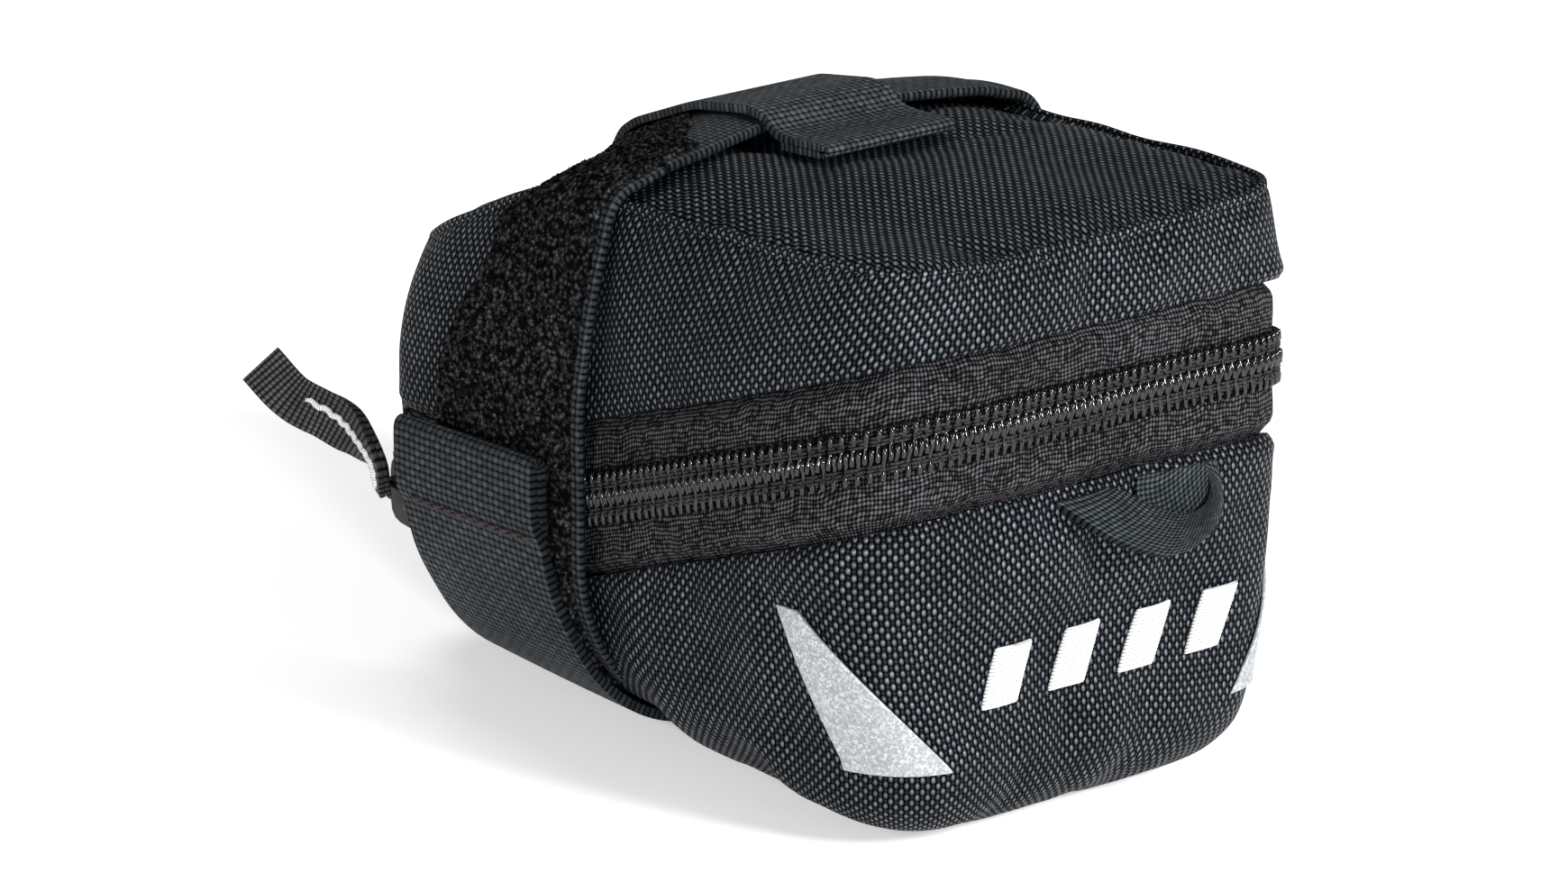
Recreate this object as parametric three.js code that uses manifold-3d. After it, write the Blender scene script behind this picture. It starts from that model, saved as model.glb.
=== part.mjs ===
// A small wedge saddle bag: a zipped two-part fabric case hung from the saddle rails by one
// hook-and-loop belt.  Millimetres, +Z up, +Y towards the seatpost, rear of the bag towards -Y.
// The lid hangs from the rails; the lower body folds down about the front panel once unzipped.
import * as THREE from 'three';
import { mergeVertices } from 'three/addons/utils/BufferGeometryUtils.js';
import Module from 'manifold-3d';

const wasm = await Module();
wasm.setup();

// ---- driving dimensions, mm ----
const HEIGHT = 70;             // base to the top seam at the rear
const HALF_WIDTH = 35.2;       // widest half width
const REAR = 46.9;             // plan centre to the rear wall at the widest height
const FRONT = 42.9;            // plan centre to the front wall at the widest height
const WIDEST_Z = 41;           // height of the widest section
const BASE_REAR_Y = -40;       // rear edge of the flat base
const BASE_SLOPE = 0.1;        // the base rises towards the front against the level lid
const STRAP_RECESS = 1.9;      // the base steps up where the belt passes under it
const BASE_CENTRE_Y = -21;     // middle of the flat resting area of the base
const CROWN = 3;               // rise of the lid panel in its middle
const FABRIC = 1.2;            // coated fabric with its padding
const GAP = 0.3;               // clearance between separate pieces
const LINING = 0.6;
const LINING_OUT = -2.1;       // outer face of the loose lining, inside the fabric face
const TAPE_HALF = 9.2;         // zip centre line to the outer edge of the tape
const TAPE = 0.8;
const COIL_HALF = 3.1;         // half width of the closed coil chain
const COIL_OUT = 1.3;          // coil standing off the tape
const ZIP_END = 46;            // degrees from the front centre to the zip ends
const HINGE_Z = 28.4;          // fold line of the front panel, level with the zip ends
const STRAP_REAR_Y = -0.6;     // rear edge of the belt
const STRAP_WIDTH = 25;
const STRAP_X = 36.6;          // inner face of the hanging belt
const WEBBING = 1.2;
const PILE_WEBBING = 1.0;
const PILE = 0.7;              // loop pile standing off its webbing
const TAIL_SHIFT = 5.5;        // the belt end lies this much further forward than its root
const SPLIT_Z = 18;            // height of the lower corners' bending lines
const TAIL_TOP_Z = 39;
const PILE_END_Z = 24;
const KEEPER_WIDTH = 20;
const STATIONS = 56;           // sections around the plan outline
const RAD = Math.PI / 180;

// ---- materials ----
const finish = (color, roughness, metalness = 0) =>
  new THREE.MeshStandardMaterial({ color, roughness, metalness });
const fabric = finish(0x1b2028, 0.75);
const webbing = finish(0x1a222a, 0.85);
const tapeCloth = finish(0x17161a, 0.85);
const coilPlastic = finish(0x0c0c0e, 0.3);
const liningCloth = finish(0x6d7278, 0.8);
const reflective = finish(0xb9bdc1, 0.35);
const thread = finish(0xe8eaec, 0.6);
const pileCloth = finish(0x17171a, 0.95);
const hookCloth = finish(0x111214, 0.7);
const foam = finish(0x3a3d42, 0.95);
const stiffPlastic = finish(0x24272b, 0.5);
const blackMetal = finish(0x15161a, 0.35, 0.8);

const bag = new THREE.Group();
// modelled with the lid level, then tipped so that the base rests on z = 0 about its middle
const tilt = Math.atan(BASE_SLOPE);
const baseRise = BASE_SLOPE * (BASE_CENTRE_Y - BASE_REAR_Y);
bag.rotation.x = -tilt;
bag.position.y = -BASE_CENTRE_Y * Math.cos(tilt) - baseRise * Math.sin(tilt);
bag.position.z = BASE_CENTRE_Y * Math.sin(tilt) - baseRise * Math.cos(tilt);

function piece(name, geometry, material) {
  const mesh = new THREE.Mesh(geometry, material);
  mesh.name = name;
  bag.add(mesh);
  return mesh;
}

// ---- the wall surface ----
const smooth = (x) => {
  const k = THREE.MathUtils.clamp(x, 0, 1);
  return k * k * (3 - 2 * k);
};
const basePlane = (y) => BASE_SLOPE * (y - BASE_REAR_Y);
const baseZ = (y) => basePlane(y) + STRAP_RECESS * smooth((y + 8) / 6.5);
const topZ = (y) => HEIGHT - 16 * smooth((y - 3) / 50);
// the front corners grow rounder towards the top
const frontPower = (up) => 7.6 - 5 * smooth(up);
const zipZ = (y) => 34.97 - 0.3255 * y + 0.004 * Math.max(y, 0) ** 2;
const cornerRadius = (y) => 10.9 + 4.4 * smooth((y + 40) / 60);

// plan section at height z as a superellipse; angle 0 is the front centre and 90 the left side
function planPoint(angle, z, inset = 0) {
  const lift = THREE.MathUtils.clamp((z - WIDEST_Z) / 32, -1.3, 1.3);
  const up = Math.max(lift, 0);
  const down = Math.max(-lift, 0);
  const c = Math.cos(angle);
  const s = Math.sin(angle);
  const a = HALF_WIDTH - 3.2 * up ** 2 - 4.3 * down ** 2 - inset;
  const rear = REAR + 2.7 * up ** 2 + 0.8 * down ** 2 - inset;
  const front = FRONT - 4.5 * up ** 2 - 4.8 * down ** 2 - inset;
  const b = c > 0 ? front : rear;
  const n = c > 0 ? frontPower(up) : 7.3;
  const k = (Math.abs(c) ** n + Math.abs(s) ** n) ** (-1 / n);
  const x = -a * s * k;
  const y = b * c * k;
  const normal = new THREE.Vector2(
    (Math.sign(x) * Math.abs(x / a) ** (n - 1)) / a,
    (Math.sign(y) * Math.abs(y / b) ** (n - 1)) / b,
  ).normalize();
  return { x, y, normal };
}

// a height given as a function of y, solved on the wall at one angle
function heightAt(angle, levelOf) {
  let z = 40;
  for (let i = 0; i < 6; i++) z = levelOf(planPoint(angle, z).y);
  return z;
}

// point of the wall at a height, pushed out along the plan normal
function wallPoint(angle, z, out) {
  const p = planPoint(angle, z);
  return new THREE.Vector3(p.x + p.normal.x * out, p.y + p.normal.y * out, z);
}

// radius, centre height and base tangent point of the rounded bottom corner at one angle
function cornerAt(angle) {
  const r = cornerRadius(planPoint(angle, 12).y);
  const foot = planPoint(angle, 12, r);
  return { r, centreZ: baseZ(foot.y) + r, foot };
}

// point of the rounded bottom corner; turn 0 is the wall tangent and 90 the base tangent
function cornerPoint(angle, turn, out) {
  const { r, centreZ, foot } = cornerAt(angle);
  const side = wallPoint(angle, centreZ, out);
  const share = Math.cos(turn * RAD);
  const x = foot.x + (side.x - foot.x) * share;
  const y = foot.y + (side.y - foot.y) * share;
  return new THREE.Vector3(x, y, centreZ - (r + out) * Math.sin(turn * RAD));
}

// ---- solids from grids ----
// closed solid between two grids of points [column][row]; wrapped grids close on themselves
function slab(outer, inner, wrapped = false) {
  const columns = outer.length;
  const rows = outer[0].length;
  const triangles = [];
  const quad = (a, b, c, d) => triangles.push(a, b, c, a, c, d);
  const lastColumn = wrapped ? columns : columns - 1;
  for (let i = 0; i < lastColumn; i++) {
    const n = (i + 1) % columns;
    for (let j = 0; j < rows - 1; j++) {
      quad(outer[i][j], outer[n][j], outer[n][j + 1], outer[i][j + 1]);
      quad(inner[i][j], inner[i][j + 1], inner[n][j + 1], inner[n][j]);
    }
    quad(inner[i][0], inner[n][0], outer[n][0], outer[i][0]);
    const top = rows - 1;
    quad(outer[i][top], outer[n][top], inner[n][top], inner[i][top]);
  }
  if (!wrapped) {
    for (let j = 0; j < rows - 1; j++) {
      const end = columns - 1;
      quad(outer[0][j], outer[0][j + 1], inner[0][j + 1], inner[0][j]);
      quad(outer[end][j], inner[end][j], inner[end][j + 1], outer[end][j + 1]);
    }
  }
  return closedGeometry(triangles);
}

// merges equal points, drops faces of no area and turns the faces outward
function closedGeometry(points) {
  let geometry = new THREE.BufferGeometry().setFromPoints(points);
  geometry = mergeVertices(geometry, 1e-4);
  const index = geometry.index.array;
  const kept = [];
  for (let i = 0; i < index.length; i += 3) {
    const [a, b, c] = [index[i], index[i + 1], index[i + 2]];
    if (a !== b && b !== c && c !== a) kept.push(a, b, c);
  }
  if (volumeOf(geometry, kept) < 0) kept.reverse();
  geometry.setIndex(kept);
  return geometry;
}

function volumeOf(geometry, index) {
  const p = geometry.attributes.position;
  const [a, b, c] = [new THREE.Vector3(), new THREE.Vector3(), new THREE.Vector3()];
  let total = 0;
  for (let i = 0; i < index.length; i += 3) {
    a.fromBufferAttribute(p, index[i]);
    b.fromBufferAttribute(p, index[i + 1]);
    c.fromBufferAttribute(p, index[i + 2]);
    total += a.dot(b.cross(c));
  }
  return total;
}

// angles in radians, packed more closely in the four corners
function angles(fromDegrees, toDegrees, count) {
  const list = [];
  for (let i = 0; i <= count; i++) {
    const even = (fromDegrees + ((toDegrees - fromDegrees) * i) / count) * RAD;
    list.push(even + 0.16 * Math.sin(4 * even));
  }
  return list;
}
const spread = (degrees) => {
  let even = degrees * RAD;
  for (let i = 0; i < 30; i++) even = degrees * RAD - 0.16 * Math.sin(4 * even);
  return even / RAD;
};
const ringAngles = (count = STATIONS) => angles(0, 360, count).slice(0, -1);
const arcAngles = (from, to, count) => angles(spread(from), spread(to), count);

const steps = (from, to, count) =>
  Array.from({ length: count + 1 }, (_, i) => from + ((to - from) * i) / count);

// band of wall between two levels, with the outer and inner offsets as functions of the row
function wallBand(list, lowOf, highOf, out, inner, rows = 1, wrapped = false, flare = () => 0) {
  const grid = (offset) =>
    list.map((angle) => {
      const low = heightAt(angle, lowOf);
      const high = heightAt(angle, highOf);
      return steps(0, 1, rows).map((k) =>
        wallPoint(angle, low + (high - low) * k, offset + flare(angle, k)),
      );
    });
  return slab(grid(out), grid(inner), wrapped);
}

// column from a turn of the bottom corner up to a level, which may lie within the corner;
// rows are packed twice as closely around the corner as on the straight wall above it
function cupColumn(angle, firstTurn, high, out, rows) {
  const { r, centreZ } = cornerAt(angle);
  const lastTurn = Math.asin(THREE.MathUtils.clamp((centreZ - high) / r, 0, 1)) / RAD;
  const bend = 2 * r * (firstTurn - lastTurn) * RAD;
  const rise = Math.max(0, high - centreZ);
  return steps(0, bend + rise, rows).map((s) => {
    if (s > bend + 0.01) return wallPoint(angle, centreZ + s - bend, out);
    return cornerPoint(angle, firstTurn - s / (2 * r * RAD), out);
  });
}

// wall from the base tangent up to a level, through the rounded bottom corner
function cupBand(list, highOf, out, inner) {
  const grid = (offset) =>
    list.map((angle) => cupColumn(angle, 90, heightAt(angle, highOf), offset, 8));
  return slab(grid(out), grid(inner));
}

// sheet filling a ring of points, thick along z and crowned in the middle
function sheet(ring, zTop, thickness, shares, crown = 0) {
  const centre = new THREE.Vector2(0, -2);
  const grid = (drop) =>
    ring.map((p) =>
      shares.map((k) => {
        const x = centre.x + (p.x - centre.x) * k;
        const y = centre.y + (p.y - centre.y) * k;
        return new THREE.Vector3(x, y, zTop(y) + crown * (1 - k * k) - drop);
      }),
    );
  return slab(grid(0), grid(thickness), true);
}

// ---- lid ----
const arc = arcAngles(ZIP_END, 360 - ZIP_END, 44);
const frontArc = arcAngles(-ZIP_END + 0.6, ZIP_END - 0.6, 14);
const overRear = (angle) => smooth((-Math.cos(angle) - 0.1) / 0.8);
// the lid's lower edge stands out over the zip tape towards the rear
const lidFlare = (angle, k) => 1.6 * overRear(angle) * (1 - k);

piece('lid_band', wallBand(arc, (y) => zipZ(y) + TAPE_HALF + GAP, topZ, 0, -FABRIC, 4, false,
  lidFlare), fabric);
piece('front_panel_upper', wallBand(frontArc, () => HINGE_Z + GAP, topZ, 0, -FABRIC, 5), fabric);

const topRing = ringAngles().map((angle) =>
  wallPoint(angle, heightAt(angle, topZ), -FABRIC - GAP));
const lidShares = [1, 0.85, 0.7, 0.5, 0.3, 0];
piece('lid_top_panel', sheet(topRing, topZ, FABRIC, lidShares, CROWN), fabric);
const foamRing = ringAngles(36).map((angle) => wallPoint(angle, heightAt(angle, topZ) - 4, -4));
piece('lid_foam', sheet(foamRing, (y) => topZ(y) - FABRIC - 2 * GAP, 2, lidShares, CROWN), foam);

// cap-shaped lining: wall rows, then rows closing over the top under the foam
function lidLining() {
  const shares = [0.85, 0.7, 0.5, 0.3, 0];
  const ceiling = FABRIC + 2 + 6 * GAP;
  const grid = (offset, drop) =>
    ringAngles(40).map((angle) => {
      const low = heightAt(angle, (y) => zipZ(y) + TAPE_HALF + 1);
      const high = heightAt(angle, topZ) - ceiling - drop;
      const wall = steps(0, 1, 4).map((k) => wallPoint(angle, low + (high - low) * k, offset));
      const rim = wall[4];
      const cap = shares.map((k) => {
        const y = -2 + (rim.y + 2) * k;
        return new THREE.Vector3(rim.x * k, y, topZ(y) + CROWN * (1 - k * k) - ceiling - drop);
      });
      return wall.concat(cap);
    });
  return slab(grid(LINING_OUT, 0), grid(LINING_OUT - LINING, LINING), true);
}
piece('lid_lining', lidLining(), liningCloth);

const bindingOut = LINING_OUT - LINING - 2 * GAP;
piece('lid_seam_binding', wallBand(ringAngles(36), (y) => topZ(y) - 9.5, (y) => topZ(y) - 6.5,
  bindingOut, bindingOut - 0.8, 1, true), webbing);

// ---- zip ----
const zipArc = arcAngles(ZIP_END + 0.6, 360 - ZIP_END - 0.6, 44);
const coilArc = arcAngles(ZIP_END + 3, 357 - ZIP_END, 44);
const zipOffset = (distance) => (y) => zipZ(y) + distance;
piece('zip_tape_upper', wallBand(zipArc, zipOffset(0.2), zipOffset(TAPE_HALF), -0.1, -0.1 - TAPE),
  tapeCloth);
piece('zip_tape_lower', wallBand(zipArc, zipOffset(-TAPE_HALF), zipOffset(-0.2), -0.1,
  -0.1 - TAPE), tapeCloth);
piece('zip_coil_upper', wallBand(coilArc, zipOffset(0.2), zipOffset(COIL_HALF), COIL_OUT, 0.2),
  coilPlastic);
piece('zip_coil_lower', wallBand(coilArc, zipOffset(-COIL_HALF), zipOffset(-0.2), COIL_OUT, 0.2),
  coilPlastic);
for (const [name, from] of [['zip_stop_left', 47], ['zip_stop_right', 311.6]]) {
  piece(name, wallBand(arcAngles(from, from + 1.4, 1), zipOffset(0.3), zipOffset(COIL_HALF + 0.6),
    1.5, 0.2), blackMetal);
}

// ---- body ----
piece('body_wall', cupBand(arc, (y) => zipZ(y) - TAPE_HALF - GAP, 0, -FABRIC), fabric);
piece('front_panel_lower', cupBand(frontArc, () => HINGE_Z - GAP, 0, -FABRIC), fabric);

const baseRing = ringAngles().map((angle) => {
  const rim = cornerPoint(angle, 90, 0);
  const p = planPoint(angle, 12);
  return new THREE.Vector3(rim.x - p.normal.x * GAP, rim.y - p.normal.y * GAP, rim.z);
});
// more rows than the lid, so that the step under the belt is followed
const baseShares = [1, 0.85, 0.7, 0.55, 0.4, 0.25, 0];
piece('base_panel', sheet(baseRing, (y) => baseZ(y) + FABRIC, FABRIC, baseShares), fabric);
const stiffenerTop = (y) => basePlane(y) + STRAP_RECESS + FABRIC + GAP + 1.3;
piece('base_stiffener', sheet(baseRing.filter((_, i) => i % 2 === 0), stiffenerTop, 1.3, [1, 0]),
  stiffPlastic);

// cup-shaped lining, flat over the stiffener
function bodyLining() {
  const floor = (y) => stiffenerTop(y) + GAP;
  const grid = (offset, lift) =>
    ringAngles(40).map((angle) => {
      const high = heightAt(angle, (y) => Math.min(zipZ(y), HINGE_Z + 20) - TAPE_HALF - 1);
      const wall = cupColumn(angle, 50, high, offset, 6);
      for (const p of wall) p.z = Math.max(p.z, floor(p.y) + lift);
      const middle = new THREE.Vector3(0, -2, floor(-2) + lift);
      const inward = new THREE.Vector3().lerpVectors(middle, wall[0], 0.8);
      inward.z = floor(inward.y) + lift;
      return [middle, inward].concat(wall);
    });
  return slab(grid(LINING_OUT, 0), grid(LINING_OUT - LINING, LINING), true);
}
piece('body_lining', bodyLining(), liningCloth);

// rear light loop, sewn into the seam under the zip tape and bowed away from the wall
const rearAngle = (x) => 180 + Math.atan(x / HALF_WIDTH) / RAD;
function lightLoop() {
  const [from, to, out] = [-5, 21, 5.5];
  const columns = steps(0, 1, 10);
  const grid = (thickness) =>
    columns.map((k) => {
      const angle = rearAngle(from + (to - from) * k) * RAD;
      const bow = out * Math.sin(Math.PI * k) + GAP + thickness;
      return [0, 1].map((row) => wallPoint(angle, 30 + 9 * row, bow));
    });
  return slab(grid(1.1), grid(0));
}
piece('light_loop', lightLoop(), webbing);

// curved wedge of reflective film on each rear corner, wider towards the bottom
const FILM_OUT = 0.45;         // inner face of the film, clear of the wall's flat facets
function reflector(side) {
  const [top, bottom] = [29.6, 10.6];
  const grid = (offset) =>
    steps(0, 1, 4).map((k) =>
      steps(top, bottom, 5).map((z) => {
        const from = 124.4 + (top - z) * 0.31;
        const to = 127.4 + (top - z) * 0.92;
        const turned = (from + (to - from) * k) * side * RAD;
        const { r, centreZ } = cornerAt(turned);
        if (z >= centreZ) return wallPoint(turned, z, offset);
        return cornerPoint(turned, Math.asin((centreZ - z) / r) / RAD, offset);
      }),
    );
  return slab(grid(FILM_OUT + 0.3), grid(FILM_OUT));
}
piece('reflector_left', reflector(1), reflective);
piece('reflector_right', reflector(-1), reflective);

// plain slanted bars of raised embroidery across the rear
const BARS = 4;
for (let i = 0; i < BARS; i++) {
  const start = -19 + 11.5 * i;
  const grid = (offset) =>
    steps(0, 1, 2).map((k) =>
      [0, 1].map((row) => wallPoint(rearAngle(start + 6 * k + 3 * row) * RAD, 17 + 7 * row, offset)),
    );
  piece(`embroidered_bar_${i + 1}`, slab(grid(0.7), grid(GAP)), thread);
}

// ---- belt ----
const strapRows = steps(STRAP_REAR_Y, STRAP_REAR_Y + STRAP_WIDTH, 2);
// half width of the top seam at y
function seamX(y) {
  const z = topZ(y);
  const lift = (z - WIDEST_Z) / 32;
  const a = HALF_WIDTH - 3.2 * lift ** 2;
  const b = y > 0 ? FRONT - 4.5 * lift ** 2 : REAR;
  const n = y > 0 ? frontPower(lift) : 7.3;
  return a * (1 - Math.abs(y / b) ** n) ** (1 / n);
}
const BEND = 4.3;              // inner radius of the belt over the top seams
const SEAM_BACK = 2.6;         // bend centre inboard of and below the seam
const PILE_TOP_X = -26.2;      // the loose arm starts here on the top

// side arm and top corner seen from behind, from the lower end to the start of the flat top
function armPath(y, endZ, out) {
  const cx = seamX(y) - SEAM_BACK;
  const cz = topZ(y) - SEAM_BACK;
  const path = [[STRAP_X + out, endZ], [STRAP_X + out, 46]];
  for (const turn of [0, 30, 60, 90]) {
    path.push([
      cx + (BEND + out) * Math.cos(turn * RAD),
      cz + (BEND + out) * Math.sin(turn * RAD),
    ]);
  }
  return path;
}

// ribbon whose path at each y lists [x, z]; side -1 mirrors it to the left
function ribbon(pathOf, thickness, rows = strapRows, base = 0) {
  const grid = (out) => {
    const columns = rows.map((y) => pathOf(y, out).map(([x, z]) => new THREE.Vector3(x, y, z)));
    return columns;
  };
  return slab(grid(base + thickness), grid(base));
}
// the belt follows the crown of the lid between its two bends
const crownAt = (x) => CROWN * Math.max(0, 1 - (x / 26) ** 2);
const topLine = (xs) => (y, out) =>
  xs.map((x) => [x, topZ(y) + BEND - SEAM_BACK + crownAt(x) + out]);
const topEnd = topLine([14, 0, -14, PILE_TOP_X + GAP]);
piece('strap_top', ribbon((y, out) => armPath(y, SPLIT_Z + GAP, out).concat(topEnd(y, out)),
  WEBBING), webbing);

const leftArm = (endZ) => (y, out) => {
  const path = armPath(y, endZ, out).map(([x, z]) => [-x, z]);
  path[path.length - 1][0] = Math.min(path[path.length - 1][0], PILE_TOP_X - 0.05);
  return path.concat([[PILE_TOP_X, topZ(y) + BEND - SEAM_BACK + out]]);
};
piece('strap_pile_webbing', ribbon(leftArm(PILE_END_Z), PILE_WEBBING), webbing);
const pileRows = steps(STRAP_REAR_Y + 2.5, STRAP_REAR_Y + STRAP_WIDTH, 2);
piece('strap_loop_pile', ribbon(leftArm(PILE_END_Z + 0.5), PILE, pileRows, PILE_WEBBING + GAP),
  pileCloth);

// under the base: quarter ellipses at both corners and a flat run between them
const UNDER_Z = 1.4;           // inner face of the belt above the base plane
const TAIL_X = 39.6;           // inner face of the belt end, outside the hook patch
const UNDER_FLAT_X = 18;
function underPath(y, out) {
  const path = [];
  const rise = SPLIT_Z - UNDER_Z - basePlane(y);
  for (const turn of [0, 22, 45, 68, 90]) {
    const x = UNDER_FLAT_X + (STRAP_X - UNDER_FLAT_X + out) * Math.cos(turn * RAD);
    path.push([x, SPLIT_Z - (rise + out) * Math.sin(turn * RAD)]);
  }
  for (const turn of [90, 68, 45, 22, 0]) {
    const x = -UNDER_FLAT_X - (TAIL_X - UNDER_FLAT_X + out) * Math.cos(turn * RAD);
    path.push([x, SPLIT_Z - (rise + out) * Math.sin(turn * RAD)]);
  }
  return path;
}
// the belt drifts forward as it crosses under the base
function underBelt() {
  const grid = (out) =>
    strapRows.map((y) =>
      underPath(y, out).map(([x, z]) => {
        const drift = TAIL_SHIFT * smooth((STRAP_X - x) / (STRAP_X + TAIL_X));
        const bottom = Math.max(0, 1 - (z - UNDER_Z - basePlane(y)) / SPLIT_Z);
        return new THREE.Vector3(x, y + drift, z + BASE_SLOPE * drift * bottom);
      }),
    );
  return slab(grid(WEBBING), grid(0));
}
piece('strap_under', underBelt(), webbing);

const tailRows = strapRows.map((y) => y + TAIL_SHIFT);
const upright = (x, low, high) => (y, out) => [[-x - out, low], [-x - out, high]];
piece('strap_tail', ribbon(upright(TAIL_X, SPLIT_Z + GAP, TAIL_TOP_Z), WEBBING, tailRows), webbing);
const HOOK_X = 38.8;
const hookRows = steps(tailRows[0] + 1, tailRows[2] - 1, 1);
piece('strap_hook_patch', ribbon(upright(HOOK_X, SPLIT_Z + 2, TAIL_TOP_Z - 1), 0.7, hookRows),
  hookCloth);

// keeper: webbing bridge sewn to the lid ahead of and behind the belt
function keeper() {
  const over = CROWN + BEND - SEAM_BACK + WEBBING;
  const lower = [
    [STRAP_REAR_Y - 12, CROWN],
    [STRAP_REAR_Y - 4, CROWN],
    [STRAP_REAR_Y - 1, over],
    [3, over],
    [STRAP_REAR_Y + STRAP_WIDTH / 2, over],
    [STRAP_REAR_Y + STRAP_WIDTH + 1, over],
    [STRAP_REAR_Y + STRAP_WIDTH + 4, CROWN],
    [STRAP_REAR_Y + STRAP_WIDTH + 7, CROWN - 0.4],
  ].map(([y, lift]) => [y, lift + GAP]);
  const grid = (out) =>
    steps(-KEEPER_WIDTH / 2, KEEPER_WIDTH / 2, 1).map((x) =>
      lower.map(([y, lift]) => new THREE.Vector3(x, y, topZ(y) + lift + out)),
    );
  return slab(grid(1.3), grid(0));
}
piece('strap_keeper', keeper(), webbing);

// ---- slider and pull ----
const SLIDER_Y = 32.7;
const SLIDER_TURN = 8 * RAD;   // the wall turns inward at the front corner
const sliderPlace = new THREE.Matrix4();
{
  const x = -planSideX(SLIDER_Y) - COIL_OUT - 0.4;
  const along = new THREE.Vector3(Math.sin(SLIDER_TURN), Math.cos(SLIDER_TURN), 0);
  const out = new THREE.Vector3(-Math.cos(SLIDER_TURN), Math.sin(SLIDER_TURN), 0);
  sliderPlace.makeBasis(along, out.clone().cross(along), out);
  sliderPlace.setPosition(x, SLIDER_Y, zipZ(SLIDER_Y));
}
function planSideX(y) {
  const lift = (zipZ(y) - WIDEST_Z) / 32;
  const a = HALF_WIDTH - 4.3 * lift ** 2;
  const b = FRONT - 4.8 * lift ** 2;
  return a * (1 - (y / b) ** 7.6) ** (1 / 7.6);
}

function solidOf(geometry) {
  const g = geometry.clone();
  for (const name of ['normal', 'uv']) if (g.attributes[name]) g.deleteAttribute(name);
  const merged = mergeVertices(g, 1e-4);
  return new wasm.Manifold(new wasm.Mesh({
    numProp: 3,
    vertProperties: new Float32Array(merged.attributes.position.array),
    triVerts: new Uint32Array(merged.index.array),
  }));
}
function geometryOf(solid) {
  const mesh = solid.getMesh();
  const g = new THREE.BufferGeometry();
  g.setAttribute('position', new THREE.BufferAttribute(mesh.vertProperties, 3));
  g.setIndex(new THREE.BufferAttribute(mesh.triVerts, 1));
  return g;
}

// slider: heart-shaped plate with a low bail over its middle
function slider() {
  const plate = new THREE.Shape();
  plate.moveTo(-3.7, -2.2);
  plate.quadraticCurveTo(-3.7, -4.2, -1.5, -4.3);
  plate.lineTo(1.5, -4.1);
  plate.quadraticCurveTo(3.7, -3.9, 3.7, -1.8);
  plate.lineTo(3.7, 1.8);
  plate.quadraticCurveTo(3.7, 3.9, 1.5, 4.1);
  plate.lineTo(-1.5, 4.3);
  plate.quadraticCurveTo(-3.7, 4.2, -3.7, 2.2);
  plate.closePath();
  const base = new THREE.ExtrudeGeometry(plate, { depth: 0.7, bevelEnabled: false, curveSegments: 3 });
  const bail = new THREE.Shape();
  bail.moveTo(-2.8, 0.4);
  bail.lineTo(-2.4, 1.2);
  bail.quadraticCurveTo(0, 1.75, 2.8, 1.7);
  bail.quadraticCurveTo(3.6, 1.6, 3.5, 0.4);
  bail.closePath();
  const arch = new THREE.ExtrudeGeometry(bail, { depth: 2.4, bevelEnabled: false, curveSegments: 3 });
  arch.rotateX(Math.PI / 2);
  arch.translate(0, 1.2, 0);
  return geometryOf(solidOf(base).add(solidOf(arch)));
}
const sliderGeometry = slider();
sliderGeometry.applyMatrix4(sliderPlace);
piece('zip_slider', sliderGeometry, blackMetal);

// pull: folded ribbon reaching forward, outward and up from the bail, twisting to lie flat
const pullPath = new THREE.CatmullRomCurve3([
  new THREE.Vector3(-38.0, 37.6, 29.4),
  new THREE.Vector3(-40.0, 41.5, 31.6),
  new THREE.Vector3(-42.6, 45.2, 36.0),
  new THREE.Vector3(-45.5, 48.6, 42.6),
]);
function pullRibbon(halfWidth, halfThickness, lift, from, to) {
  const grid = (side) =>
    steps(from, to, 7).map((u) => {
      const p = pullPath.getPoint(u);
      const along = pullPath.getTangent(u);
      const lean = (20 + 50 * u) * RAD;
      const across = new THREE.Vector3(-Math.sin(lean) * 0.7, -Math.sin(lean) * 0.7, Math.cos(lean));
      across.addScaledVector(along, -across.dot(along)).normalize();
      const face = new THREE.Vector3().crossVectors(along, across);
      return [-1, 1].map((edge) =>
        p.clone().addScaledVector(across, edge * halfWidth)
          .addScaledVector(face, side * halfThickness + lift));
    });
  return slab(grid(1), grid(-1));
}
piece('pull_tab', pullRibbon(2.8, 0.7, 0, 0, 1), webbing);
piece('pull_reflective_thread', pullRibbon(0.5, 0.15, -1.05, 0.08, 0.72), reflective);

export default bag;
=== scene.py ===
"""Looks of a small wedge saddle bag: woven fabric shell, coil zip, belt, reflectors and linings.

Shapes are worked out in the bag's own level frame (millimetres, lid level) with the same wall
formulas as the CAD, then turned into the row frame in metres by row().
"""
import math

import bpy
import numpy as np
from mathutils import Matrix, Vector


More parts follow.
